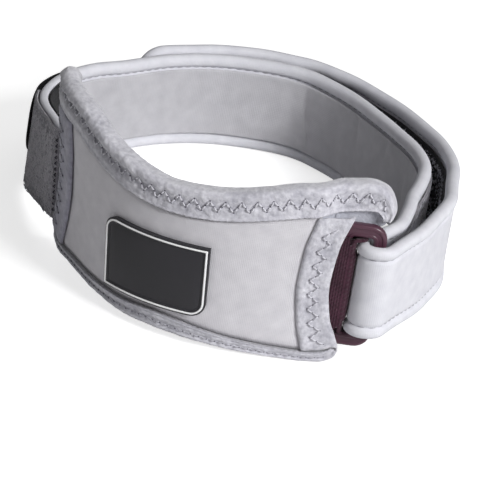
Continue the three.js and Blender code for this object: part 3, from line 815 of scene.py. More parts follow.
def shader_group(name: str, inputs: dict, outputs: dict, fill: Callable) -> Tree:
    """A shader node group, made once.

    Args:
        name: Its name.
        inputs: Kinds of its inputs by name, such as Float.
        outputs: Kinds of its outputs by name.
        fill: Adds its nodes, given a Nodes and the group's inputs, and returns its outputs by name.

    Returns:
        The group.
    """
    if name in bpy.data.node_groups:
        return bpy.data.node_groups[name]
    tree = bpy.data.node_groups.new(name, "ShaderNodeTree")
    for way, sockets in (("INPUT", inputs), ("OUTPUT", outputs)):
        for socket, kind in sockets.items():
            tree.interface.new_socket(socket, in_out=way, socket_type="NodeSocket" + kind)
    given, out = (tree.nodes.new("NodeGroup" + way) for way in ("Input", "Output"))
    nodes = Nodes(tree)
    nodes.feed(out, fill(nodes, given.outputs))
    return tree


class Grain(Enum):
    """What a cloth's surface is made of."""

    KNIT = "Knit"
    FLEECE = "Fleece"
    WEAVE = "Weave"
    PILE = "Loop pile"
    HOOK = "Hook tape"

    def fill(self, nodes: Nodes, given: bpy.types.NodeOutputs) -> dict[str, Socket]:
        """The nodes of the surface.

        Args:
            nodes: Adds nodes to its group.
            given: The group's inputs: a flat place and a pitch, both in metres.

        Returns:
            The group's outputs: a height, and a shade from 0 to 1.
        """
        rate = nodes.sum("DIVIDE", 1.0, given["Pitch"])
        at = nodes.add("VectorMath", {0: given["Vector"], "Scale": rate}, operation="SCALE")[0]
        x, y, _ = nodes.add("SeparateXYZ", {0: at})
        shade = nodes.noise(at, 0.12, 3.0)
        if self is Grain.KNIT:
            across = nodes.sum("ABSOLUTE", nodes.wave(x, math.pi))
            loop = nodes.wave(nodes.plus(y, nodes.times(across, 0.35)), 2 * math.pi)
            height = nodes.plus(nodes.plus(across, nodes.times(loop, 0.35)), nodes.times(shade, 1.4))
        elif self is Grain.WEAVE:
            warp, weft = nodes.wave(x, math.pi), nodes.wave(y, math.pi)
            rib = nodes.sum("ABSOLUTE", weft)
            height = nodes.plus(nodes.times(nodes.times(warp, weft), 0.5), rib)
        elif self is Grain.FLEECE:
            fuzz, lumps = nodes.noise(at, 1.0, 5.0), nodes.noise(at, 0.22, 2.0)
            height = nodes.plus(fuzz, lumps)
            shade = nodes.plus(nodes.times(fuzz, 0.55), nodes.times(lumps, 0.45))
        else:
            scatter = 0.35 if self is Grain.HOOK else 1.0
            cells = nodes.add("TexVoronoi", {"Vector": at, "Scale": 1.0, "Randomness": scatter})
            height = nodes.sum("SUBTRACT", 1.0, cells["Distance"])
            if self is Grain.HOOK:
                spot = nodes.sum("LESS_THAN", cells["Distance"], 0.2)
                shade = nodes.times(spot, nodes.noise(at, 0.9, 1.0))
            else:
                fuzz = nodes.noise(at, 1.7, 4.0)
                height = nodes.plus(height, fuzz)
                shade = nodes.plus(nodes.times(shade, 0.4), nodes.times(fuzz, 0.6))
        return {"Height": height, "Shade": shade}

    def group(self) -> Tree:
        """The surface's shader group."""
        inputs, outputs = {"Vector": "Vector", "Pitch": "Float"}, {"Height": "Float", "Shade": "Float"}
        return shader_group(self.value, inputs, outputs, self.fill)


def toned(nodes: Nodes, at: Socket, colour: object, amount: float) -> Socket:
    """A colour made uneven over centimetres, as cloth and mouldings are.

    Args:
        nodes: Adds nodes to the material.
        at: The place on the object.
        colour: The colour, or the output that gives it.
        amount: How uneven it gets.

    Returns:
        The uneven colour.
    """

    def fill(inside: Nodes, given: bpy.types.NodeOutputs) -> dict[str, Socket]:
        """The nodes of the group.

        Args:
            inside: Adds nodes to it.
            given: Its inputs.

        Returns:
            Its outputs by name.
        """
        wide, fine = (inside.noise(given["Vector"], *rate) for rate in ((45.0, 2.0), (260.0, 3.0)))
        both = inside.plus(inside.times(wide, 1.2), inside.times(fine, 0.8))
        tone = inside.plus(inside.times(inside.sum("SUBTRACT", both, 1.0), given["Amount"]), 1.0)
        return {"Colour": inside.blend(1.0, given["Colour"], tone, "MULTIPLY")}

    kinds = {"Vector": "Vector", "Colour": "Color", "Amount": "Float"}
    group = shader_group("Toning", kinds, {"Colour": "Color"}, fill)
    return nodes.add("Group", {"Vector": at, "Colour": colour, "Amount": amount}, node_tree=group)[0]


@dataclass(frozen=True)
class Finish:
    """A finish, whose dress method gives the inputs of its shader."""

    name: str

    def material(self) -> bpy.types.Material:
        """The finished material, made once."""
        material = bpy.data.materials.get(self.name)
        if material is None:
            material = bpy.data.materials.new(self.name)
            material.use_nodes = True
            nodes = Nodes(material.node_tree)
            nodes.feed(nodes.tree.nodes["Principled BSDF"], self.dress(nodes))
        return material


@dataclass(frozen=True)
class ClothFinish(Finish):
    """A cloth: its two tones, what its surface is made of, and the pitch and depth of that in mm."""

    colour: Colour
    deep: Colour
    grain: Grain
    pitch: float
    depth: float
    contrast: float = 1.0
    sheen: float = 0.3

    def dress(self, nodes: Nodes) -> dict[str, object]:
        """The shader's inputs: two tones by the grain, darker where painted shade lies in a seam or a fold.

        Args:
            nodes: Adds nodes to the material.

        Returns:
            Values and outputs by the input's name.
        """
        at = nodes.add("TexCoord")
        inputs = {"Vector": at["UV"], "Pitch": self.pitch * MM}
        grain = nodes.add("Group", inputs, node_tree=self.grain.group())
        half = 0.3 / self.contrast
        ramp = {"Value": grain["Shade"], "From Min": 0.5 - half, "From Max": 0.5 + half}
        tones = nodes.blend(nodes.add("MapRange", ramp)[0], linear(self.deep), linear(self.colour))
        unshaded = toned(nodes, at["Object"], tones, 0.06)
        # Painted shade: the per-vertex attribute darkens the colour towards a deeper tone.
        painted_shade = nodes.add("Attribute", attribute_name="painted_shade")["Fac"]
        shade_tone = tuple(round(0.62 * v) for v in self.deep)
        bump = {"Height": grain["Height"], "Strength": 0.6, "Distance": self.depth * MM}
        return {
            "Base Color": nodes.blend(painted_shade, unshaded, linear(shade_tone)),
            "Normal": nodes.add("Bump", bump)[0],
            "Roughness": 0.85,
            "Sheen Weight": self.sheen,
            "Sheen Roughness": 0.6,
            "Specular IOR Level": 0.2,
        }


@dataclass(frozen=True)
class MouldedFinish(Finish):
    """A moulded surface: its colour, how rough it is, and the size and depth of its fine texture."""

    colour: Colour
    roughness: float
    texture: float
    depth: float
    coat: float = 0.0
    toning: float = 0.08

    def dress(self, nodes: Nodes) -> dict[str, object]:
        """The shader's inputs: one colour, a little uneven, with fine wear.

        Args:
            nodes: Adds nodes to the material.

        Returns:
            Values and outputs by the input's name.
        """
        at = nodes.add("TexCoord")["Object"]
        grain = nodes.noise(at, 1000 / self.texture, 3.0)
        wear = {"Value": grain, "To Min": self.roughness - 0.07, "To Max": self.roughness + 0.09}
        bump = {"Height": grain, "Strength": 0.5, "Distance": self.depth * MM}
        return {
            "Base Color": toned(nodes, at, linear(self.colour), self.toning),
            "Roughness": nodes.add("MapRange", wear)[0],
            "Normal": nodes.add("Bump", bump)[0],
            "Coat Weight": self.coat,
            "Coat Roughness": 0.25,
        }


@dataclass(frozen=True)
class FloorFinish(Finish):
    """A pale floor that shines a little towards the camera, so that it comes out white."""

    low: float = 0.74
    high: float = 0.78
    glow: float = 0.68

    def dress(self, nodes: Nodes) -> dict[str, object]:
        """The shader's inputs.

        Args:
            nodes: Adds nodes to the material.

        Returns:
            Values and outputs by the input's name.
        """
        cloud = nodes.noise(nodes.add("TexCoord")["Object"], 1.5, 2.0)
        seen = nodes.add("LightPath")["Is Camera Ray"]
        return {
            "Base Color": nodes.blend(cloud, *((tone, tone, tone, 1) for tone in (self.low, self.high))),
            "Emission Strength": nodes.times(seen, self.glow),
            "Emission Color": (1, 1, 1, 1),
            "Roughness": 0.3,
        }


def thread(name: str, colour: Colour, deep: Colour, sheen: float = 0.3, loose: bool = True) -> ClothFinish:
    """The finish of sewing thread, or of a loose fibre.

    Args:
        name: Its name.
        colour: Its colour.
        deep: Its deeper tone.
        sheen: How strong its sheen is.
        loose: Whether it is a loose fibre.

    Returns:
        The finish.
    """
    pitch, depth = (0.3, 0.03) if loose else (0.25, 0.05)
    return ClothFinish(name, colour, deep, Grain.WEAVE, pitch, depth, sheen=sheen)


FLEECE, KNIT, HOOK = Grain.FLEECE, Grain.KNIT, Grain.HOOK
PALE_TAPE = ClothFinish("Pale fleecy tape", (234, 233, 240), (146, 145, 158), FLEECE, 1.5, 0.7, 1.2, 0.6)
# A darker copy of the pale tape for the left upright tape: painted shade.
LEFT_TAPE_SHADE = ClothFinish("Fleecy tape in painted shade", (184, 183, 197), (120, 119, 136), FLEECE, 1.5, 0.6, 1.2, 0.5)
FOAM_FLEECE = ClothFinish("Fleece over foam", (214, 216, 227), (172, 174, 187), FLEECE, 1.2, 0.5, 1, 0.5)
# Painted shade: the small dark balls in the needle holes.
HOLE_SHADE = ClothFinish("Shaded needle hole", (120, 118, 130), (84, 82, 94), FLEECE, 0.3, 0.05, 1, 0.1)
PANEL_KNIT = ClothFinish("Smooth pad knit", (222, 220, 225), (206, 204, 210), KNIT, 0.55, 0.07, 1, 0.2)
BAND_KNIT = ClothFinish("White band knit", (227, 227, 233), (212, 212, 220), KNIT, 0.5, 0.06, 1, 0.1)
LINING_KNIT = ClothFinish("Grey lining knit", (200, 199, 204), (182, 181, 187), KNIT, 0.6, 0.08)
LOOP_PILE = ClothFinish("Grey loop pile", (158, 154, 164), (108, 105, 116), Grain.PILE, 0.8, 0.5, 1, 0.6)
HOOK_TAPE = ClothFinish("Black hook tape", (104, 104, 108), (34, 34, 37), HOOK, 1.1, 0.3, 0.8, 0.1)
# A darker copy of the black hook tape, for the end tab inside the band's left end: the tape is black, the
# extra darkness painted shade.
HOOK_SHADED = ClothFinish("Black hook tape in painted shade", (58, 58, 62), (24, 24, 27), HOOK, 1.1, 0.3, 0.8, 0.05)
WEBBING = ClothFinish("Burgundy webbing", (76, 42, 58), (42, 18, 31), Grain.WEAVE, 0.8, 0.35, 1, 0.1)
THREAD_PALE = thread("Pale thread", (228, 227, 234), (202, 201, 210), 0.2, loose=False)
# Grey thread: on the lower and the left tapes a darker copy of the pale thread, as painted shade; it also
# sews the band's hems.
THREAD_GREY = thread("Grey thread", (190, 189, 197), (158, 157, 166), 0.2, loose=False)
# Dark thread for the loop panel's upright seam: its darkness is painted shadow.
SHADOW_THREAD = thread("Thread in painted shadow", (92, 91, 98), (66, 65, 72), 0.1, loose=False)
PILE_FIBRE = thread("Grey pile fibre", (172, 171, 178), (128, 127, 134))
PILE_PALE = thread("Pale pile fibre", (232, 231, 238), (196, 195, 204))
HOOK_FIBRE = thread("Black hook bristle", (98, 98, 104), (52, 52, 56), 0.1)
LINT = thread("Pale lint", (214, 213, 222), (160, 159, 168))
RUBBER = MouldedFinish("Black rubber patch", (44, 43, 48), 0.5, 0.35, 0.06)
RUBBER_LINE = MouldedFinish("Pale rubber line", (253, 253, 254), 0.5, 0.5, 0.03, toning=0.01)
PLASTIC = MouldedFinish("Burgundy plastic", (84, 52, 67), 0.34, 0.4, 0.02, coat=0.1)
FLOOR = FloorFinish("Pale floor")


def finish_piece(obj: Piece, finish: Finish, slot: str, stands_in: bool = False) -> Piece:
    """Dresses a piece, says what it rides on and stands for, and reports it.

    Args:
        obj: The piece.
        finish: Its finish.
        slot: Name of the CAD node that it stands for, hidden when stands_in is set.
        stands_in: Whether it stands for the CAD node of that name.

    Returns:
        The same piece.
    """
    obj.data.materials.clear()
    obj.data.materials.append(finish.material())
    obj.data.polygons.foreach_set("use_smooth", [True] * len(obj.data.polygons))
    obj.data.update()
    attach(obj, "root")
    if stands_in:
        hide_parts(slot)
    log.info("%s: %d faces, %s", obj.name, len(obj.data.polygons), finish.name)
    return obj


def sharpened(obj: Piece, degrees: float = 35) -> Piece:
    """Shades a piece smooth except across edges sharper than this angle."""
    activate(obj)
    bpy.ops.object.shade_smooth_by_angle(angle=math.radians(degrees))
    return obj


# ---- the padded panel

# Edges of the folded tapes. Columns: outer edge along the pad, its height, inner edge along, its height.
TOP_TAPE = (
    (0.991, 0.645, 0.954, 0.642), (1.0, 0.705, 0.957, 0.66), (0.991, 0.825, 0.945, 0.702),
    (0.954, 0.955, 0.922, 0.732), (0.893, 1.0, 0.877, 0.723), (0.812, 0.982, 0.812, 0.699),
    (0.696, 0.964, 0.717, 0.672), (0.565, 0.931, 0.609, 0.645), (0.435, 0.861, 0.464, 0.578),
    (0.29, 0.792, 0.304, 0.506), (0.145, 0.747, 0.149, 0.458), (0.0, 0.72, 0.0, 0.44),
)  # fmt: skip
BOTTOM_TAPE = (
    (0.861, 0.837, 0.826, 0.796), (0.849, 0.918, 0.812, 0.823), (0.812, 0.973, 0.79, 0.85),
    (0.725, 1.0, 0.725, 0.873), (0.58, 0.988, 0.58, 0.86), (0.391, 0.962, 0.391, 0.82),
    (0.145, 0.932, 0.145, 0.748), (0.0, 0.926, 0.0, 0.722),
)  # fmt: skip
# Edges of an upright tape. Columns: share of its height, inner edge, outer edge.
SIDE_TAPE = (
    (0.0, 0.699, 0.859), (0.25, 0.653, 0.8), (0.5, 0.632, 0.775), (0.75, 0.638, 0.787),
    (1.0, 0.671, 0.835),
)  # fmt: skip
# Cross section of an upright tape. Columns: share of its width, height above its soft middle.
SIDE_SECTION = (
    (0, -0.95), (0.015, -0.5), (0.05, -0.1), (0.11, 0.06), (0.2, 0.06), (0.3, -0.03), (0.38, -0.12),
    (0.5, -0.16), (0.62, -0.12), (0.7, -0.03), (0.8, 0.06), (0.89, 0.06), (0.95, -0.1), (0.985, -0.5),
    (1, -0.95),
)  # fmt: skip
# Lower edge of the foam under a flap. Columns: share of the pad's half, share of the flap's rise.
FLAP_UNDER = ((0.75, 0.521), (0.87, 0.524), (0.928, 0.535), (0.958, 0.56), (0.973, 0.6))


def sewn(name: str, ends: tuple[Array, Array], radius: float, finish: Finish) -> None:
    """The thread of a tape's seam, and small dark balls in the dimples where the needle went in, which are
    painted shade.

    Args:
        name: The tape's name, which begins the names of the new pieces.
        ends: Flat coordinates of the stitches' first ends and of their last ends, one row each.
        radius: Of the thread, in millimetres.
        finish: Of the thread.
    """
    length, offset, height = ends[0].T
    middle = PAD.place(length, offset - 0.12, height)
    # The painted shade in the needle holes gets smaller towards the right end, where more light falls.
    size = (1 - 0.45 * smoothstep(length / PAD.half, -0.2, 0.8))[:, None]

    def step(u: float, o: float, z: float) -> Array:
        """A millimetre on the object along one of the three ways."""
        return PAD.place(length + u, offset + o, height + z) - PAD.place(length - u, offset - o, height - z)

    axes = step(0.5, 0, 0) * 0.75 * size, step(0, 0, 0.5) * 0.65 * size, step(0, 0.5, 0) * 0.3
    finish_piece(repeated(name + "_holes", ball(8, 4), middle, axes), HOLE_SHADE, name)
    finish_piece(stitches(name + "_seam", PAD.place, *ends, radius), finish, name)


@dataclass
class EdgeTape:
    """A tape folded over an edge of the panel, with its two edges along the panel.

    Towards the left end its heights shrink to left_share of the right end's, over the shares of the
    panel in left_over. The valley runs along its seam, and crowning rounds the left end's crown.
    """

    name: str
    table: Table
    height: float
    flat: tuple[float, float]
    area: float
    left_share: float = 1.0
    left_over: tuple[float, float] = (0.4, 0.85)
    face: float = 1.1
    inside: float = -4.1
    front: float = -0.5
    thick: float = 1.3
    tucked: bool = False
    zigzag: bool = True
    pitch: float = 2.35
    corners: tuple[float, float] = (0.68, 0.32)
    stitch: float = 1.9
    stitch_gap: float = 0.7
    row_step: float = 0.6
    valley: float = 0.05
    left_valley: float = 1.15
    crowning: float = 1.7
    seed: int = 3

    @cached_property
    def rows(self) -> Array:
        """Outer edge along and up, inner edge along and up, from right to left."""
        right = np.array(self.table) * [PAD.half, self.height, PAD.half, self.height]
        left = right[:-1] * [-1, 1, -1, 1]
        share = 1 + (self.left_share - 1) * smoothstep(right[:-1, 0] / PAD.half, *self.left_over)
        left[:, [1, 3]] *= share[:, None]
        every = np.vstack([right, left[::-1]])
        at = np.linspace(0, 1, (len(every) - 1) * 20 + 1)
        return np.hstack([smooth_curve(every[:, :2], at), smooth_curve(every[:, 2:], at)])

    def edge(self, column: int, u: Array) -> Array:
        """Height of the outer edge, column 0, or the inner edge, column 2, at a length along the panel.

        Args:
            column: Which edge.
            u: The lengths.

        Returns:
            The heights.
        """
        lengths = self.rows[:, column]
        part = self.rows[int(np.argmax(lengths)) : int(np.argmin(lengths)) + 1][::-1]
        return np.interp(u, part[:, column], part[:, column + 1])

    def section(self, depth: Array) -> tuple[Array, Array, Array]:
        """The tape's cross section, all round, for each depth.

        Args:
            depth: The tape's depth at each row.

        Returns:
            Distances in from the crown, offsets, and how much of the fleece's lumps each point gets.
        """
        back = self.inside - self.thick
        outer = (
            (1.0, self.front, 0), (1.0, 0.2, 0.2), (1.0, 0.85, 0.5), (0.988, 1.3, 0.7),
            (0.962, 1.44, 1), (0.93, 1.28, 1), (0.88, 1.04, 1), (0.8, 1.08, 1), (0.72, 1.1, 1),
            (0.64, 0.94, 1), (0.57, 0.86, 1), (0.5, 0.84, 1), (0.43, 0.88, 1), (0.36, 1.0, 1),
            (0.3, 1.1, 1), (0.24, 1.14, 1), (0.19, 1.08, 1),
        )  # fmt: skip
        crown = (
            (1.25, 0.98, 1), (0.85, 0.78, 1), (0.5, 0.45, 1), (0.22, 0.0, 1), (0.06, -0.6, 1),
            (0.0, -1.4, 1), (0.0, -2.9, 1), (0.06, back + 1.7, 1), (0.22, back + 1.1, 1),
            (0.5, back + 0.6, 1), (0.85, back + 0.28, 1), (1.25, back + 0.1, 1),
        )  # fmt: skip
        rear = (
            (0.2, back, 1), (0.32, back, 1), (0.42, back + 0.14, 1), (0.5, back + 0.2, 1),
            (0.58, back + 0.14, 1), (0.7, back, 1), (0.9, back, 0.8), (0.97, back + 0.15, 0.5),
            (1.0, back + 0.5, 0.3), (1.0, self.inside, 0),
        )  # fmt: skip
        lining = ((self.thick, self.inside, 0), (self.thick, self.front, 0))
        share, tight = depth[:, None], np.minimum(1.0, depth / 7)[:, None]
        parts = (outer, share), (crown, tight), (rear, share), (lining, tight), (outer[:1], share)
        every = [(a * scale, o, lump) for points, scale in parts for a, o, lump in points]
        inward, offset, lumps = zip(*every)
        return np.hstack(inward), np.array(offset), np.array(lumps)

    @staticmethod
    def lengths(rows: Array) -> Array:
        """Lengths of rows along the tape's middle."""
        return along((rows[:, :2] + rows[:, 2:]) / 2)

    @staticmethod
    def spot(row: Array, t: Array) -> tuple[Array, Array]:
        """Length along the panel and height, for rows of the tape and a share t of its depth."""
        return tuple(row[:, k] + (row[:, k + 2] - row[:, k]) * t for k in (0, 1))

    @cached_property
    def even(self) -> Array:
        """The rows again, evenly spaced along the tape's middle."""
        lengths = self.lengths(self.rows)
        at = np.linspace(0, lengths[-1], round(lengths[-1] / self.row_step) + 1)
        return np.stack([np.interp(at, lengths, self.rows[:, k]) for k in range(4)], 1)

    def sunk(self, u: Array) -> Array:
        """Depth of the valley along the seam, at a length along the panel."""
        return self.valley + (self.left_valley - self.valley) * smoothstep(-u / PAD.half, -0.3, 0.6)

    def build(self) -> Piece:
        """The tape itself."""
        rows = self.even
        lengths, depth = self.lengths(rows), np.hypot(*(rows[:, 2:] - rows[:, :2]).T)
        inward, offset, lumps = self.section(depth)
        girth = np.hypot(np.diff(inward[len(rows) // 2]), np.diff(offset))
        blank = Blank(self.name, lengths, np.concatenate([[0], np.cumsum(girth)]))
        i, j = blank.row, blank.column
        length, depth, inward, o, lumps = lengths[i], depth[i], inward[i, j], offset[j], lumps[j]
        t = inward / depth
        if self.tucked:
            off_crown = np.clip(np.abs(o + 2.15) / 3.25, 0, 1) ** 2
            at_left = smoothstep(-rows[i, 0] / PAD.half, 0.6, 0.9)
            t = t + self.crowning * at_left * off_crown * hill(inward, 2.2) / depth
        u, z = self.spot(rows[i], t)
        uneven = 0.10 * ripple(u, z, 5.0, self.seed) + 0.07 * ripple(u, z, 1.9, self.seed + 1)
        o = o + lumps * uneven * np.where(o > -2, 1, -1)
        o -= np.where(o > -2, 1, 0) * lumps * self.dents(length, t)
        puff = 0.35 * hill(t - 0.26, 0.12) + 0.25 * hill(t - 0.76, 0.12)
        o -= np.where(o > -2, self.sunk(u), 0) * (hill(t - 0.5, 0.12) - puff)
        scallop = 0.12 * np.sin(2 * np.pi * length / 1.7)
        z = z - np.where((t > 0.9) & (o > -1), scallop * np.sign(self.height), 0)
        if self.tucked:
            o = o + PAD.tuck(u, z)
        # Painted shade: darker along the seam's valley, more so towards the left end, and in a thin line
        # under the tape's lip.
        lumpy = 0.75 + 0.25 * ripple(u, z, 3.2, self.seed + 5)
        fold = hill(t - 0.45, 0.2) * (0.95 if self.tucked else 0.25) * lumpy
        fold = fold * smoothstep(-u / PAD.half, -0.1, 0.85)
        blank.painted_shade(fold + 0.45 * hill(t - 1.0, 0.012))
        obj = finish_piece(blank.lay(PAD.place(u, o, z)).close(), PALE_TAPE, self.name, True)
        return obj

    def dents(self, length: Array, t: Array) -> Array:
        """How far the needle pulls the fleece in, at a length along the tape and a share of its depth.

        Args:
            length: The lengths.
            t: The shares.

        Returns:
            The depths of the dents.
        """
        if not self.zigzag:
            return 0.18 * hill(t - 0.5, 0.1)
        phase = length / self.pitch
        nearest = np.rint(phase)
        corner = np.where(nearest % 2 == 0, *self.corners)
        return 0.3 * hill(np.hypot((phase - nearest) * self.pitch / 0.75, (t - corner) * 9), 1)

    def seam(self) -> None:
        """The thread along the tape's middle."""
        lengths = self.lengths(self.even)
        if self.zigzag:
            at = np.arange(2, int(lengths[-1] / self.pitch) - 1) * self.pitch
            ends = zigzag(at, *self.corners)
        else:
            begin = np.arange(4.0, lengths[-1] - 6, self.stitch + self.stitch_gap)
            starts = columns(begin, 0.5)
            ends = starts, starts + [self.stitch, 0]

        def flat(points: Array) -> Array:
            """Flat coordinates on the panel for rows of a length along the tape and a share of its depth."""
            row = np.stack([np.interp(points[:, 0], lengths, self.even[:, k]) for k in range(4)], 1)
            u, z = self.spot(row, points[:, 1])
            o = self.face + 0.06 - 0.55 * self.sunk(u) + (PAD.tuck(u, z) if self.tucked else 0)
            return columns(u, o, z)

        # The lower tape's thread is the grey copy of the pale thread: painted shade.
        radius, finish = (0.28, THREAD_PALE) if self.zigzag else (0.2, THREAD_GREY)
        sewn(self.name, tuple(flat(points) for points in ends), radius, finish)


TOP = EdgeTape("binding_top", TOP_TAPE, PAD.flap_rise, (0.0275, 0.152), 0.00335, PAD.left_flap, tucked=True)
BOTTOM = EdgeTape(
    "binding_bottom", BOTTOM_TAPE, -PAD.drop, (0.0155, 0.121), 0.0016, 0.88, (0.12, 0.6),
    zigzag=False, left_valley=0.05, seed=8,
)  # fmt: skip


def between(u: Array, t: Array) -> Array:
    """Height between the two folded tapes at a length along the panel, for a share t of it."""
    low, high = BOTTOM.edge(2, u) + 2 * GAP, TOP.edge(2, u) - GAP
    return low + (high - low) * t


@dataclass
class Panel:
    """The padded front: its foam, its smooth face, its edge tapes and its two upright tapes."""

    foam_face: float = -0.8
    foam_thick: float = 3.0
    swell: float = 1.3
    inset: float = 2.2
    foam_step: float = 0.8
    face: float = 0.7
    under: float = 1.4
    side_face: float = 1.8
    side_length: float = 46.0
    half_zigzag: float = 0.17
    left_zigzag: float = 0.72
    pitch: float = 2.5

    def foam(self) -> Piece:
        """The foam with its fleece, swelling between the tapes on the leg's side."""
        end, step = PAD.half - self.inset, PAD.foam_end * PAD.half
        flap = end - (end - step - self.foam_step) * np.linspace(0, 1, 34) ** 1.4
        flap = np.append(flap, step + 0.4)
        stations = np.concatenate([flap, np.linspace(step, -step, 130), -flap[::-1]])
        share = np.abs(stations) / PAD.half
        top = TOP.edge(0, stations * (PAD.half / (PAD.half - self.inset))) - self.inset
        under = share > PAD.foam_end + 0.003
        low = PAD.flap_rise * np.where(stations < 0, PAD.left_flap, 1) * table_at(FLAP_UNDER, 1, share)
        above_tape = BOTTOM.edge(0, stations) + self.inset
        bottom = np.where(under, low, above_tape)
        halfway = under & (np.abs(share - PAD.foam_end) < 0.009)
        bottom = np.where(halfway, (low + above_tape) / 2, bottom)
        t = np.concatenate([np.linspace(0, 1, 15), np.linspace(1, 0, 42), [0.0]])
        is_back = np.concatenate([np.zeros(15), np.ones(42), [0.0]])
        blank = Blank("pad_core", -stations, np.arange(len(t)) * 1.5)
        i, j = blank.row, blank.column
        u, under, bottom, top = stations[i], under[i], bottom[i], top[i]
        height = top - bottom
        z = bottom + height * t[j]
        from_edge = np.minimum(z - bottom, top - z)
        rounding = 0.9 * (1 - np.sqrt(1 - (1 - np.clip(from_edge / 1.2, 0, 1)) ** 2))
        leg = np.where(under, height * 0.2, np.minimum(9.0, height * 0.42))
        crown = smoothstep((from_edge - leg + 2.0) / 3.5, 0, 1)
        fullness = np.where(under, 0.2, 1.0) * (1 + 0.08 * ripple(u, z, 16, 21))
        back = self.foam_face - self.foam_thick - self.swell * crown * fullness
        back = back + 0.06 * ripple(u, z, 2.2, 22) * crown
        o = np.where(is_back[j] > 0, back + rounding, self.foam_face - rounding)
        blank.map(-u, z)
        obj = blank.lay(PAD.place(u, o + PAD.tuck(u, z), z)).close()
        return finish_piece(obj, FOAM_FLEECE, "pad_core", True)

    def knit(self) -> Piece:
        """The smooth outer panel, drawn in a little along its seams."""
        s, t = np.linspace(0, 1, 170), np.linspace(0, 1, 64)
        blank = Blank("pad_face", s, t)
        s, t = s[blank.row], t[blank.column]
        edge = PAD.half * table_at(SIDE_TAPE, 1, t)
        u = (edge + self.under) * (2 * s - 1)
        z = between(u, t) + np.where(t < 0.5, -0.55, 0.25) * np.abs(2 * t - 1) ** 8
        from_tapes = np.maximum(np.minimum(z - between(u, 0.0), between(u, 1.0) - z), 0)
        from_seam = np.maximum(np.minimum(from_tapes, edge - np.abs(u)), 0)
        drawn = 0.3 * hill(from_seam, 0.9) + 0.16 * hill(from_seam, 4.5) + 0.3 * hill(from_tapes, 0.7)
        soft = 0.1 * ripple(u, z, 24, 31) + 0.035 * ripple(u, z, 7, 32)
        pucker = 0.07 * np.sin(2 * np.pi * (u + z * 0.6) / 1.9) * hill(from_seam, 1.6)
        on_badge = np.exp(-(((u - BADGE.u) / 15.0) ** 8) - (((z - BADGE.z) / 8.5) ** 8))
        o = np.minimum(self.face - drawn + (soft + pucker) * (1 - on_badge), self.face + 0.13)
        blank.map(u, z)
        # Painted shade along the edges of the tapes and, fainter, along the seams.
        blank.painted_shade(0.6 * hill(from_tapes, 0.5) + 0.1 * hill(from_seam, 2.0))
        obj = blank.lay(PAD.place(u, o, z)).wall(0.6)
        finish_piece(obj, PANEL_KNIT, "pad_face", True)
        return obj

    def side(self, name: str, side: int) -> None:
        """An upright tape and its zigzag thread.

        Args:
            name: The tape's name.
            side: 1 at the right, -1 at the left.
        """
        at_right = side > 0
        shares, rise = np.array(SIDE_SECTION).T
        t = np.linspace(0, 1, 70)
        blank = Blank(name, t, shares)
        t, s = t[blank.row], shares[blank.column]

        def across(t: Array, s: Array) -> Array:
            """Length along the panel for shares of the tape's height and width."""
            inner, outer = (table_at(SIDE_TAPE, k, t) for k in (1, 2))
            return side * PAD.half * (inner + (outer - inner) * s)

        u = across(t, s)
        z = between(u, t)
        middle = 0.5 if at_right else self.left_zigzag
        phase = t * self.side_length / self.pitch
        nearest = np.rint(phase)
        corner = middle + np.where(nearest % 2 == 0, -1, 1) * self.half_zigzag
        dent = 0.3 * np.exp(-(((phase - nearest) * self.pitch / 0.75) ** 2 + ((s - corner) * 10) ** 2))
        lumps = 0.09 * ripple(u, z, 4.5, 41 + side) + 0.06 * ripple(u, z, 1.8, 45 + side)
        on_edge = hill(0.5 - np.abs(s - 0.5), 0.02)
        o = self.side_face - 0.1 + rise[blank.column] + (lumps - dent) * (1 - on_edge)
        o = o - 0.35 * hill(np.minimum(t, 1 - t) * self.side_length, 0.7)
        blank.map(z, u)
        obj = blank.lay(PAD.place(u, o, z)).wall(1.0, turned=at_right)
        # The left upright tape takes the darker copy of the pale tape: painted shade on the panel's shaded
        # end.
        finish_piece(obj, PALE_TAPE if at_right else LEFT_TAPE_SHADE, name, True)

        def flat(points: Array) -> Array:
            """Flat coordinates on the panel for rows of a share of the tape's height and one of its width."""
            u = across(*points.T)
            return columns(u, self.side_face + 0.04, between(u, points[:, 0]))

        corners = np.arange(1, int(self.side_length / self.pitch)) * self.pitch / self.side_length
        ends = zigzag(corners, middle + self.half_zigzag, middle - self.half_zigzag)
        # The left tape's thread is the grey copy of the pale thread: painted shade.
        radius, finish = (0.28, THREAD_PALE) if at_right else (0.18, THREAD_GREY)
        sewn(name, tuple(flat(points) for points in ends), radius, finish)

    def build(self) -> None:
        """All of the padded panel."""
        self.foam()
        self.knit()
        for tape in (TOP, BOTTOM):
            tape.build()
            tape.seam()
        self.side("binding_right", 1)
        self.side("binding_left", -1)


# ---- the badge and the ring


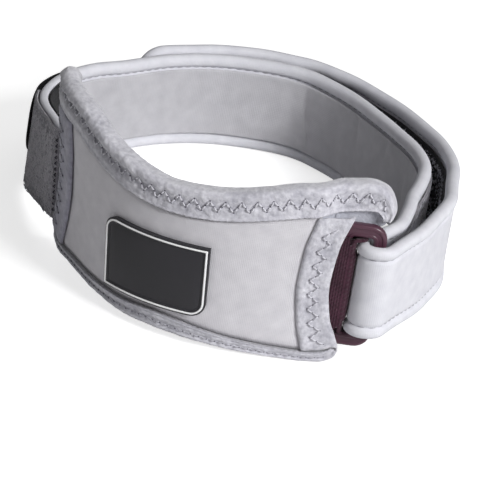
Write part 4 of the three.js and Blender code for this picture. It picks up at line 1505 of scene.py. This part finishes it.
@dataclass
class Badge:
    """The rubber patch on the panel, with its raised border and a bare face."""

    width: float = 36.3
    height: float = 24.2
    thick: float = 1.4
    round: float = 5.0
    turn: float = math.radians(2.7)
    u: float = -0.9
    z: float = -6.6
    face: float = 0.7
    inset: float = 0.6
    line: float = 0.6
    rise: float = 0.5

    def bent(self, obj: Piece) -> None:
        """Bends a flat piece, whose z is its height above the panel's face, on to the panel.

        Args:
            obj: The piece.
        """
        x, y, o = points_of(obj).T
        c, s = math.cos(self.turn), math.sin(self.turn)
        move(obj, PAD.place(self.u + c * x - s * y, self.face + GAP + o, self.z + s * x + c * y))
        outwards(obj)

    def outline(self, name: str, inset: float) -> Piece:
        """The patch's flat outline, one face: its upper left and lower right corners are round.

        Args:
            name: The piece's name.
            inset: How far the outline lies inside the patch's own.

        Returns:
            The piece, in edit mode with all of it selected.
        """
        obj = plate(name, self.width - 2 * inset, self.height - 2 * inset)
        select_where(obj, "vertices", lambda v: v.co.x * v.co.y < 0)
        bpy.ops.mesh.bevel(offset=self.round - inset, segments=9, affect="VERTICES")
        select_all()
        return obj

    def crosscut(self, count: int) -> None:
        """Cuts the piece in edit mode across its length, so that it can bend.

        Args:
            count: Into how many parts.
        """
        for k in range(1, count):
            select_all()
            bpy.ops.mesh.bisect(plane_co=(self.width * (k / count - 0.5), 0, 0), plane_no=(1, 0, 0))
        activate()

    def patch(self) -> Piece:
        """The black patch: a flat plate with a softened rim and a shallow groove round its field."""
        obj = self.outline("badge", 0)
        raise_by(self.thick - 0.12)
        rim = self.inset + self.line + 0.35
        for thickness, depth in ((0.2, 0.12), (rim, 0), (0.18, -0.16), (0.25, 0), (0.18, 0.1)):
            bpy.ops.mesh.inset(thickness=thickness, depth=depth)
        self.crosscut(30)
        self.bent(obj)
        return sharpened(finish_piece(obj, RUBBER, "badge", True))

    def border(self) -> Piece:
        """The pale raised line just inside the patch's edge, rounded on top."""
        obj = self.outline("badge_border", self.inset)
        bpy.ops.mesh.inset(thickness=self.line)
        bpy.ops.mesh.delete(type="FACE")
        select_all()
        bpy.ops.transform.translate(value=(0, 0, self.thick + 0.02))
        raise_by(self.rise * 0.75)
        self.crosscut(24)
        self.bent(obj)
        apply_modifier(obj, "BEVEL", width=0.16 * MM, segments=2, limit_method="ANGLE", angle_limit=0.9)
        return finish_piece(obj, RUBBER_LINE, "badge_border", True)

    def build(self) -> None:
        """The patch and its border."""
        self.patch()
        self.border()


BADGE = Badge()


@dataclass
class Loop:
    """The moulded ring and the webbing that holds it."""

    webbing: float = 1.2
    tail: float = 2.2
    nose: float = 1.6
    bulge: float = 0.65

    def ring(self) -> Piece:
        """The ring: a rounded frame with a slot, a softened outline and a shallow raised rim on its front."""
        obj = plate("ring", RING.right - RING.left, RING.height)
        bpy.ops.transform.translate(value=((RING.right + RING.left) / 2, RING.middle, 0))
        for x, radius in ((RING.right, RING.corner), (RING.left, RING.left_corner)):
            select_where(obj, "vertices", lambda v: abs(v.co.x - x) < 1e-3)
            bpy.ops.mesh.bevel(offset=radius, segments=7, affect="VERTICES")
        select_all()
        bpy.ops.mesh.inset(thickness=0.01)
        bpy.ops.object.mode_set(mode="OBJECT")
        self.open_slot(obj)
        bpy.ops.object.mode_set(mode="EDIT")
        bpy.ops.mesh.delete(type="FACE")
        select_all()
        raise_by(RING.thick)
        outwards(obj)
        apply_modifier(obj, "BEVEL", width=RING.bevel, segments=4, limit_method="ANGLE", angle_limit=0.9)
        activate(obj, "EDIT")
        select_where(obj, "polygons", lambda p: p.normal.z > 0.99 and p.center.z > RING.thick * 0.9)
        bpy.ops.mesh.inset(thickness=0.4, depth=0)
        bpy.ops.mesh.inset(thickness=0.22, depth=-0.22)
        activate()
        x, z, o = points_of(obj).T
        move(obj, RING.place(x, RING.face - RING.thick + o, z))
        outwards(obj)
        return sharpened(finish_piece(obj, PLASTIC, "ring", True))

    @staticmethod
    def open_slot(obj: Piece) -> None:
        """Moves the selected inner outline to the slot's, corner by corner.

        Args:
            obj: The flat ring.
        """
        reach = RING.slot_height / 2 - RING.slot_corner
        for v in (v for v in obj.data.vertices if v.select):
            above = 1 if v.co.y > RING.middle else -1
            if v.co.x > (RING.left + RING.right) / 2:
                side, radius, outer, slot = 1, RING.corner, RING.right, RING.right - RING.outer_bar
            else:
                side, radius, outer, slot = -1, RING.left_corner, RING.left, RING.left + RING.inner_bar
            corner = Vector((outer - side * radius, RING.middle + above * (RING.height / 2 - radius)))
            way = (v.co.xy - corner).normalized()
            v.co.x = slot - side * RING.slot_corner + way.x * RING.slot_corner
            v.co.y = RING.middle + above * reach + way.y * RING.slot_corner

    def sleeve(self) -> Piece:
        """The webbing round the ring's inner bar, with its tails under the upright tape."""
        left, right = RING.left - self.tail, RING.left + RING.inner_bar + GAP + self.webbing
        front, back = RING.face + GAP + self.webbing - 0.2, RING.face - RING.thick - GAP - self.webbing
        angle = np.linspace(math.pi / 2, -math.pi / 2, 15)
        flat = np.linspace(left, right - self.nose, 12)
        xs = np.concatenate([flat, right - self.nose + self.nose * np.cos(angle), flat[::-1]])
        squared = np.sign(np.sin(angle)) * np.abs(np.sin(angle)) ** 0.55
        turn = (front + back) / 2 + (front - back) / 2 * squared
        os = np.concatenate([np.full(12, front), turn, np.full(12, back)])
        height = RING.slot_height - 2 * GAP
        low = RING.middle - height / 2
        z = np.linspace(low, low + height, 110)
        lengths = along(columns(xs, os))
        blank = Blank("ring_webbing", z, lengths)
        z, j = z[blank.row], blank.column
        rib = 0.05 * np.sin(2 * np.pi * lengths[j] / 0.9)
        soft = 0.1 * hill(np.minimum(z - low, low + height - z), 0.8)
        across = np.gradient(xs), np.gradient(os)
        size = np.hypot(*across)
        nx, no = -across[1] / size, across[0] / size
        # The webbing bulges into the slot, and runs out further past the slot's two ends; these extra parts
        # are a dark sheet put in as painted shade in the slot's gaps.
        beside = smoothstep(z, -14.6, -13.0) * (1 - smoothstep(z, 9.4, 10.8))
        above, below = smoothstep(z, 14.1, 14.5), 1 - smoothstep(z, -18.1, -17.6)
        reach = 0.3 + self.bulge * beside + 3.2 * above + 1.2 * below
        x = xs[j] + nx[j] * (rib - soft)
        x = x + reach * np.clip((xs[j] - right + self.nose) / self.nose, 0, 1)
        o = os[j] + no[j] * (rib - soft)
        blank.map(z, lengths[j])
        obj = blank.lay(RING.place(x, o, z)).wall(1.0, turned=True)
        finish_piece(obj, WEBBING, "ring_webbing", True)
        return obj

    def build(self) -> None:
        """The ring and its webbing."""
        self.ring()
        self.sleeve()


# ---- the long band

# The band's half thickness against the distance from its edge: a rolled hem, its seam, then the web.
HEM = (
    (0.0, 0.0), (0.08, 0.62), (0.25, 1.08), (0.55, 1.5), (1.0, 1.85), (1.6, 2.06), (2.1, 2.1),
    (2.7, 2.02), (3.2, 1.82), (3.6, 1.46), (3.9, 1.0), (4.1, 0.85), (4.35, 1.0), (4.8, 1.34),
    (5.6, 1.47), (7.0, 1.5), (9.5, 1.5), (12.5, 1.5), (16.0, 1.5),
)  # fmt: skip


@dataclass(frozen=True)
class Strip:
    """A strip laid on one face of the band: on its grip side, 1, or on its smooth side, -1.

    Its relief gives its face an extra height from a length and a height on the band. Its half_at gives
    half of its width at a length, where that changes along it.
    """

    name: str
    start: float
    end: float
    side: int
    finish: ClothFinish
    relief: Relief
    rounded: bool = False
    step: float = 1.1
    half: float = 11.6
    half_at: Optional[Callable[[Array], Array]] = None
    area: Optional[float] = None


@dataclass
class Band:
    """The long band with its rolled hems, its lining, and its loop and hook tapes."""

    half: float = 16.0
    skin_half: float = 11.6
    skin_under: float = 1.8
    hem_share: float = 5.6
    seam: float = 4.1
    wide_half: float = 15.5
    wide_until: tuple[float, float] = (46.0, 60.0)
    hem_from: tuple[float, float] = (60.0, 76.0)
    pile_split: float = 62.0
    pile_counts: tuple[int, int] = (1700, 3000)
    hook_pitch: tuple[float, float] = (1.5, 1.3)
    hook_reach: float = 10.8
    lint_count: int = 2600
    stitch: float = 2.3
    stitch_gap: float = 0.6
    row_step: float = 1.15
    thin: float = 1.3
    seam_at: float = 7.9

    def edge_reach(self, from_end: Array, full: float) -> Array:
        """Half of a strip's width, less over its rounded end."""
        reach = np.maximum(0, BAND.tip_radius - np.maximum(from_end, 0.02))
        return full - BAND.tip_radius + np.sqrt(BAND.tip_radius**2 - reach**2)

    def edge_distance(self, from_end: Array, h: Array, full: float) -> Array:
        """Distance of a point from the strip's outline, its rounded end included.

        Args:
            from_end: How far the point lies from the strip's end.
            h: Its height above the middle line.
            full: Half of the strip's width.

        Returns:
            The distances, none below 0.
        """
        x, y = BAND.tip_radius - from_end, np.abs(h) - (full - BAND.tip_radius)
        round_part = BAND.tip_radius - np.hypot(np.maximum(x, 0), np.maximum(y, 0))
        straight = np.minimum(from_end, full - np.abs(h))
        return np.maximum(0, np.where((x > 0) & (y > 0), round_part, straight))

    def lengths(self, start: float, end: float, step: float, rounded: bool) -> Array:
        """Lengths of a strip's rows, closer together near a rounded end.

        Args:
            start: Where it starts.
            end: Where it ends.
            step: The usual spacing.
            rounded: Whether its end is rounded.

        Returns:
            The lengths.
        """
        if not rounded:
            return np.linspace(start, end, round((end - start) / step) + 1)
        near = end - BAND.tip_radius * 1.3
        tip = end - BAND.tip_radius * 1.3 * np.linspace(1, 0, 26) ** 1.8
        return np.concatenate([np.linspace(start, near, round((near - start) / step) + 1)[:-1], tip])

    def creases(self, s: Array, h: Array) -> Array:
        """Soft upright creases of the inner run, where it bends hard before the ring.

        Args:
            s: Lengths along the band.
            h: Heights above its lower edge.

        Returns:
            The depths of the creases.
        """
        total = np.zeros(np.broadcast(s, h).shape)
        rng = np.random.default_rng(12)
        for back in (26, 35, 47, 58, 72, 88, 103, 122, 150):
            middle = BAND.marks["inner"] - back + rng.uniform(-3, 3)
            slant, deep, wide = (rng.uniform(*span) for span in ((-0.25, 0.25), (0.5, 0.9), (0.8, 1.5)))
            gap = s - middle - slant * (h - 16) - 0.8 * np.sin(h / 4.0 + back)
            total += deep * hill(gap, wide) * (0.6 + 0.4 * np.sin(h / 5.5 + back))
        return total

    def strap(self) -> Piece:
        """The white band itself, from under the left upright tape to its rounded tip."""
        end, half = BAND.marks["outer"], self.half
        s = self.lengths(0.0, end, self.row_step, True)
        table = np.array(HEM)
        sides = np.concatenate([table[:, 0], (2 * half - table[:-1, 0])[::-1]])
        across = np.concatenate([sides, (4 * half - sides)[::-1][1:]])
        blank = Blank("strap", s, across)
        s, a = s[blank.row], across[blank.column]
        first = a <= 2 * half
        side, flat = np.where(first, -1.0, 1.0), np.where(first, a, 4 * half - a) - half
        from_end = end - s
        reach = self.edge_reach(from_end, half)
        d = half - np.abs(flat)
        web = (half - d) / (half - self.hem_share) * (reach - self.hem_share)
        h = np.sign(flat) * np.where(d < self.hem_share, reach - d, web)
        gap = self.edge_distance(from_end, h, half)
        thick = np.interp(gap, *table.T)
        hemmed = smoothstep(s, *self.hem_from)
        thick = thick * hemmed + np.minimum(thick, self.thin) * (1 - hemmed)
        bunched = hill(s - BAND.marks["inner"] + 8.5, 3.0, 4)
        thick = thick + 0.4 * bunched * np.clip(gap / 0.5, 0, 1) * (1 - smoothstep(gap, 2.6, 4))
        pull = hill(d - 4.3, 1.6) * 0.07 * np.sin(2 * np.pi * s / 3.1 + 2 * ripple(s, h, 30, 51))
        soft = 0.06 * ripple(s, h + 40 * side, 14, 52) * np.clip(d / 3, 0, 1)
        loose = np.clip(s / 12, 0, 1) * np.clip(from_end / 6, 0, 1) * (1 - 0.9 * smoothstep(d, 5, 7))
        blank.map(s, a)
        obj = blank.lay(BAND.place(s, side * (thick + (pull + soft) * loose), half + h)).close()
        return finish_piece(obj, BAND_KNIT, "strap", True)

    def hem_seams(self) -> None:
        """The thread along both hems, on both faces of the band."""
        end = BAND.marks["outer"] - BAND.tip_radius - 3
        begin = np.arange(14.0, end, self.stitch + self.stitch_gap)
        heights = np.repeat([self.seam, 2 * self.half - self.seam], len(begin))
        for side, name in ((-1, "strap_seam_outer"), (1, "strap_seam_grip")):
            start = columns(np.tile(begin, 2), side * 0.94, heights)
            obj = stitches(name, BAND.place, start, start + [self.stitch, 0, 0], 0.16, side)
            finish_piece(obj, THREAD_GREY, "strap")

    def skin(self, strip: Strip) -> Piece:
        """Lays a strip on the band.

        Args:
            strip: The strip.

        Returns:
            Its piece.
        """
        start, end, half, rounded = strip.start, strip.end, self.skin_half, strip.rounded
        s = self.lengths(start, end, strip.step, rounded)
        d = np.array([0, 0.1, 0.3, 0.7, 1.3, 2.2, 3.4, 4.8, 6.4, 8.2, 10.0])
        face = np.concatenate([d - half, [0.0], (half - d)[::-1]]) + half
        across = np.concatenate([face, 4 * half - face[::-1][1:]])
        blank = Blank(strip.name, s, across)
        s, a = s[blank.row], across[blank.column]
        top = a <= 2 * half
        full = strip.half_at(s) if strip.half_at else np.full(len(s), strip.half)
        reach = self.edge_reach(end - s, full) if rounded else full
        h = (np.where(top, a, 4 * half - a) - half) * reach / half
        gap = self.edge_distance(end - s, h, full) if rounded else np.minimum(full - np.abs(h), end - s)
        gap = np.minimum(gap, s - start)
        rise = 0.42 * np.sqrt(np.clip(gap / 0.5, 0, 1)) + 0.3 * smoothstep(gap, 0.3, 5)
        relief = strip.relief(s, self.half + h) * np.clip(gap / 1.5, 0, 1)
        under = self.skin_under + 0.2 * (1 - np.clip(gap / 0.4, 0, 1))
        c = np.where(top, np.minimum(self.skin_under + 0.2 + rise + relief, 2.95), under)
        blank.map(s, a)
        obj = blank.lay(BAND.place(s, strip.side * c, self.half + h)).close()
        finish_piece(obj, strip.finish, strip.name, True)
        return obj

    def loop_half(self, s: Array) -> Array:
        """Half of the loop panel's width: it covers the hems near the left end."""
        return self.wide_half - (self.wide_half - self.skin_half) * smoothstep(s, *self.wide_until)

    def pile(self, start: float, end: float) -> None:
        """The loose loops of the loop panel, and the upright seam at its left end, whose dark thread is
        painted shadow in the gap by the left tape.

        Args:
            start: Where the panel starts.
            end: Where it ends.
        """
        rng = np.random.default_rng(71)
        spans = (start + 0.6, self.pile_split), (end - 75, end - 1)
        s = np.concatenate([rng.uniform(*span, count) for span, count in zip(spans, self.pile_counts)])
        h = self.half + rng.uniform(-0.97, 0.97, len(s)) * self.loop_half(s)
        spots = columns(s, self.skin_under + 0.86, h)
        left = s < self.pile_split
        for name, part, finish in (("", left, PILE_FIBRE), ("_right", ~left, PILE_PALE)):
            obj = fibres("loop_panel_pile" + name, BAND.place, spots[part], (0.7, 1.6), 0.13, 72)
            finish_piece(obj, finish, "loop_panel")
        # The seam's dark thread is painted shadow in the gap by the left tape.
        h = np.arange(3.5, 29, 2.0)
        first = columns(self.seam_at, self.skin_under + 0.95, h)
        obj = stitches("loop_panel_seam", BAND.place, first, first + [0, 0, 1.3], 0.3)
        finish_piece(obj, SHADOW_THREAD, "loop_panel")

    def bristles(self, start: float, end: float) -> None:
        """The hooks of the hook panel in their rows, and the lint caught in them.

        Args:
            start: Where the panel starts.
            end: Where it ends.
        """
        along_it, up = self.hook_pitch
        rows = np.arange(-self.hook_reach, self.hook_reach + 0.1, up)
        s, h = (part.ravel() for part in np.meshgrid(np.arange(start + 1.2, end - 1.2, along_it), rows))
        h = h + 0.6 * (np.rint(s / along_it) % 2)
        kept = self.edge_distance(end - s, h, self.skin_half) > 0.8
        hooks = s[kept], self.half + h[kept]
        rng = np.random.default_rng(74)
        spans = (start + 2, end - 12), (-10.6, 10.6)
        s, h = (rng.uniform(*span, self.lint_count) for span in spans)
        lint = s, self.half + h
        for name, (s, h), lift, reach, radius, seed, finish in (
            ("hook_panel_hooks", hooks, 0.95, (0.5, 0.7), 0.16, 73, HOOK_FIBRE),
            ("hook_panel_lint", lint, 1.1, (0.6, 1.9), 0.18, 75, LINT),
        ):
            spots = columns(s, self.skin_under + lift, h)
            finish_piece(fibres(name, BAND.place, spots, reach, radius, seed), finish, "hook_panel")

    def build(self) -> None:
        """All of the band."""
        inner, turn, outer, last = BAND.marks.values()
        step = inner / round(inner / BAND.coarse)
        outer_rows = round((outer - turn) / BAND.coarse) + 1
        hook_start = turn + (round(0.06 * outer_rows) + 1) * (outer - turn) / (outer_rows - 1) + 16
        loop_end, lining_end, tab_end = inner - 2 * step, inner - 3.6, 8 * step + 5.4
        extra = 2 * (self.wide_half - self.skin_half) * 42
        loop_area = (2 * self.skin_half * (inner - 3 * step) + extra) * MM**2
        self.strap()
        self.hem_seams()
        for strip in (
            Strip(
                "strap_lining", 9 * step, lining_end, -1, LINING_KNIT,
                lambda s, h: 0.05 * ripple(s, h, 11, 61) - self.creases(s, h),
            ),
            Strip(
                "loop_panel", step, loop_end, 1, LOOP_PILE,
                lambda s, h: 0.09 * ripple(s, h, 2.0, 62) + 0.05 * ripple(s, h, 0.9, 63),
                step=0.8, half=self.wide_half, half_at=self.loop_half, area=loop_area,
            ),
            Strip(
                "hook_panel", hook_start, last, 1, HOOK_TAPE,
                lambda s, h: 0.03 * ripple(s, h, 2.0, 64), rounded=True,
            ),
            # The end tab inside the band's left end: black hook tape, darkened further as painted shade.
            Strip(
                "end_tab", step, tab_end, -1, HOOK_SHADED,
                lambda s, h: 0.03 * ripple(s, h, 2, 65), half=self.wide_half,
            ),
        ):  # fmt: skip
            self.skin(strip)
        self.pile(step, loop_end)
        self.bristles(hook_start, last)


# ---- the studio


@dataclass
class Studio:
    """The camera, the pale floor and the soft light."""

    azimuth: float = math.radians(26.07)
    elevation: float = math.radians(26.66)
    roll: float = math.radians(9.43)
    distance: float = 1.655
    lens: float = 385.5
    below: float = 0.0182

    def stand(self, name: str, data: bpy.types.ID) -> Piece:
        """A new object in the scene for a camera or a light.

        Args:
            name: Its name.
            data: The camera or the light.

        Returns:
            The object.
        """
        obj = bpy.data.objects.new(name, data)
        bpy.context.collection.objects.link(obj)
        return obj

    def camera(self) -> None:
        """The camera at the photograph's angle."""
        ca, sa = math.cos(self.azimuth), math.sin(self.azimuth)
        ce, se = math.cos(self.elevation), math.sin(self.elevation)
        cr, sr = math.cos(self.roll), math.sin(self.roll)
        right, up = Vector((ca, sa, 0)), Vector((-sa * se, ca * se, ce))
        ahead = Vector((-sa * ce, ca * ce, -se))
        across, above = right * cr + up * sr, up * cr - right * sr
        target = Vector((SHIFT + [0, 0, PAD.drop]) * MM) - above * self.below
        data = bpy.data.cameras.new("camera")
        data.lens, data.sensor_width, data.clip_end = self.lens, 36, 20
        obj = self.stand("camera", data)
        turn = Matrix((across, above, -ahead)).transposed().to_4x4()
        obj.matrix_world = Matrix.Translation(target - ahead * self.distance) @ turn
        bpy.context.scene.camera = obj

    def floor(self) -> None:
        """A wide pale floor with a slight polish."""
        activate()
        bpy.ops.mesh.primitive_plane_add(size=12)
        obj = added("floor")
        obj.data.materials.append(FLOOR.material())

    def lamp(self, name: str, at: Vector, power: float, size: float) -> None:
        """A square soft light that faces the object.

        Args:
            name: The light's name.
            at: Where it stands, in metres.
            power: In watts.
            size: Its side, in metres.
        """
        data = bpy.data.lights.new(name, "AREA")
        data.energy, data.size = power, size
        obj = self.stand(name, data)
        obj.location = at
        obj.rotation_euler = (Vector((0, 0, 0.03)) - at).to_track_quat("-Z", "Y").to_euler()

    def build(self) -> None:
        """All of the studio."""
        self.camera()
        self.floor()
        world = bpy.data.worlds.new("studio")
        world.use_nodes = True
        background = world.node_tree.nodes["Background"]
        Nodes(world.node_tree).feed(background, {"Color": (1, 1, 1, 1), "Strength": 0.12})
        bpy.context.scene.world = world
        bpy.context.scene.view_settings.view_transform = "Standard"
        self.lamp("key", Vector((2.15, -0.68, 1.45)), 64, 0.8)
        self.lamp("top", Vector((0.8, 0.2, 2.0)), 6, 1.4)
        self.lamp("fill", Vector((-0.8, -1.7, 0.3)), 3.0, 1.0)


def main() -> None:
    """Builds the studio and every piece of the strap."""
    Studio().build()
    Panel().build()
    BADGE.build()
    Loop().build()
    Band().build()


if __name__ == "__main__":
    main()
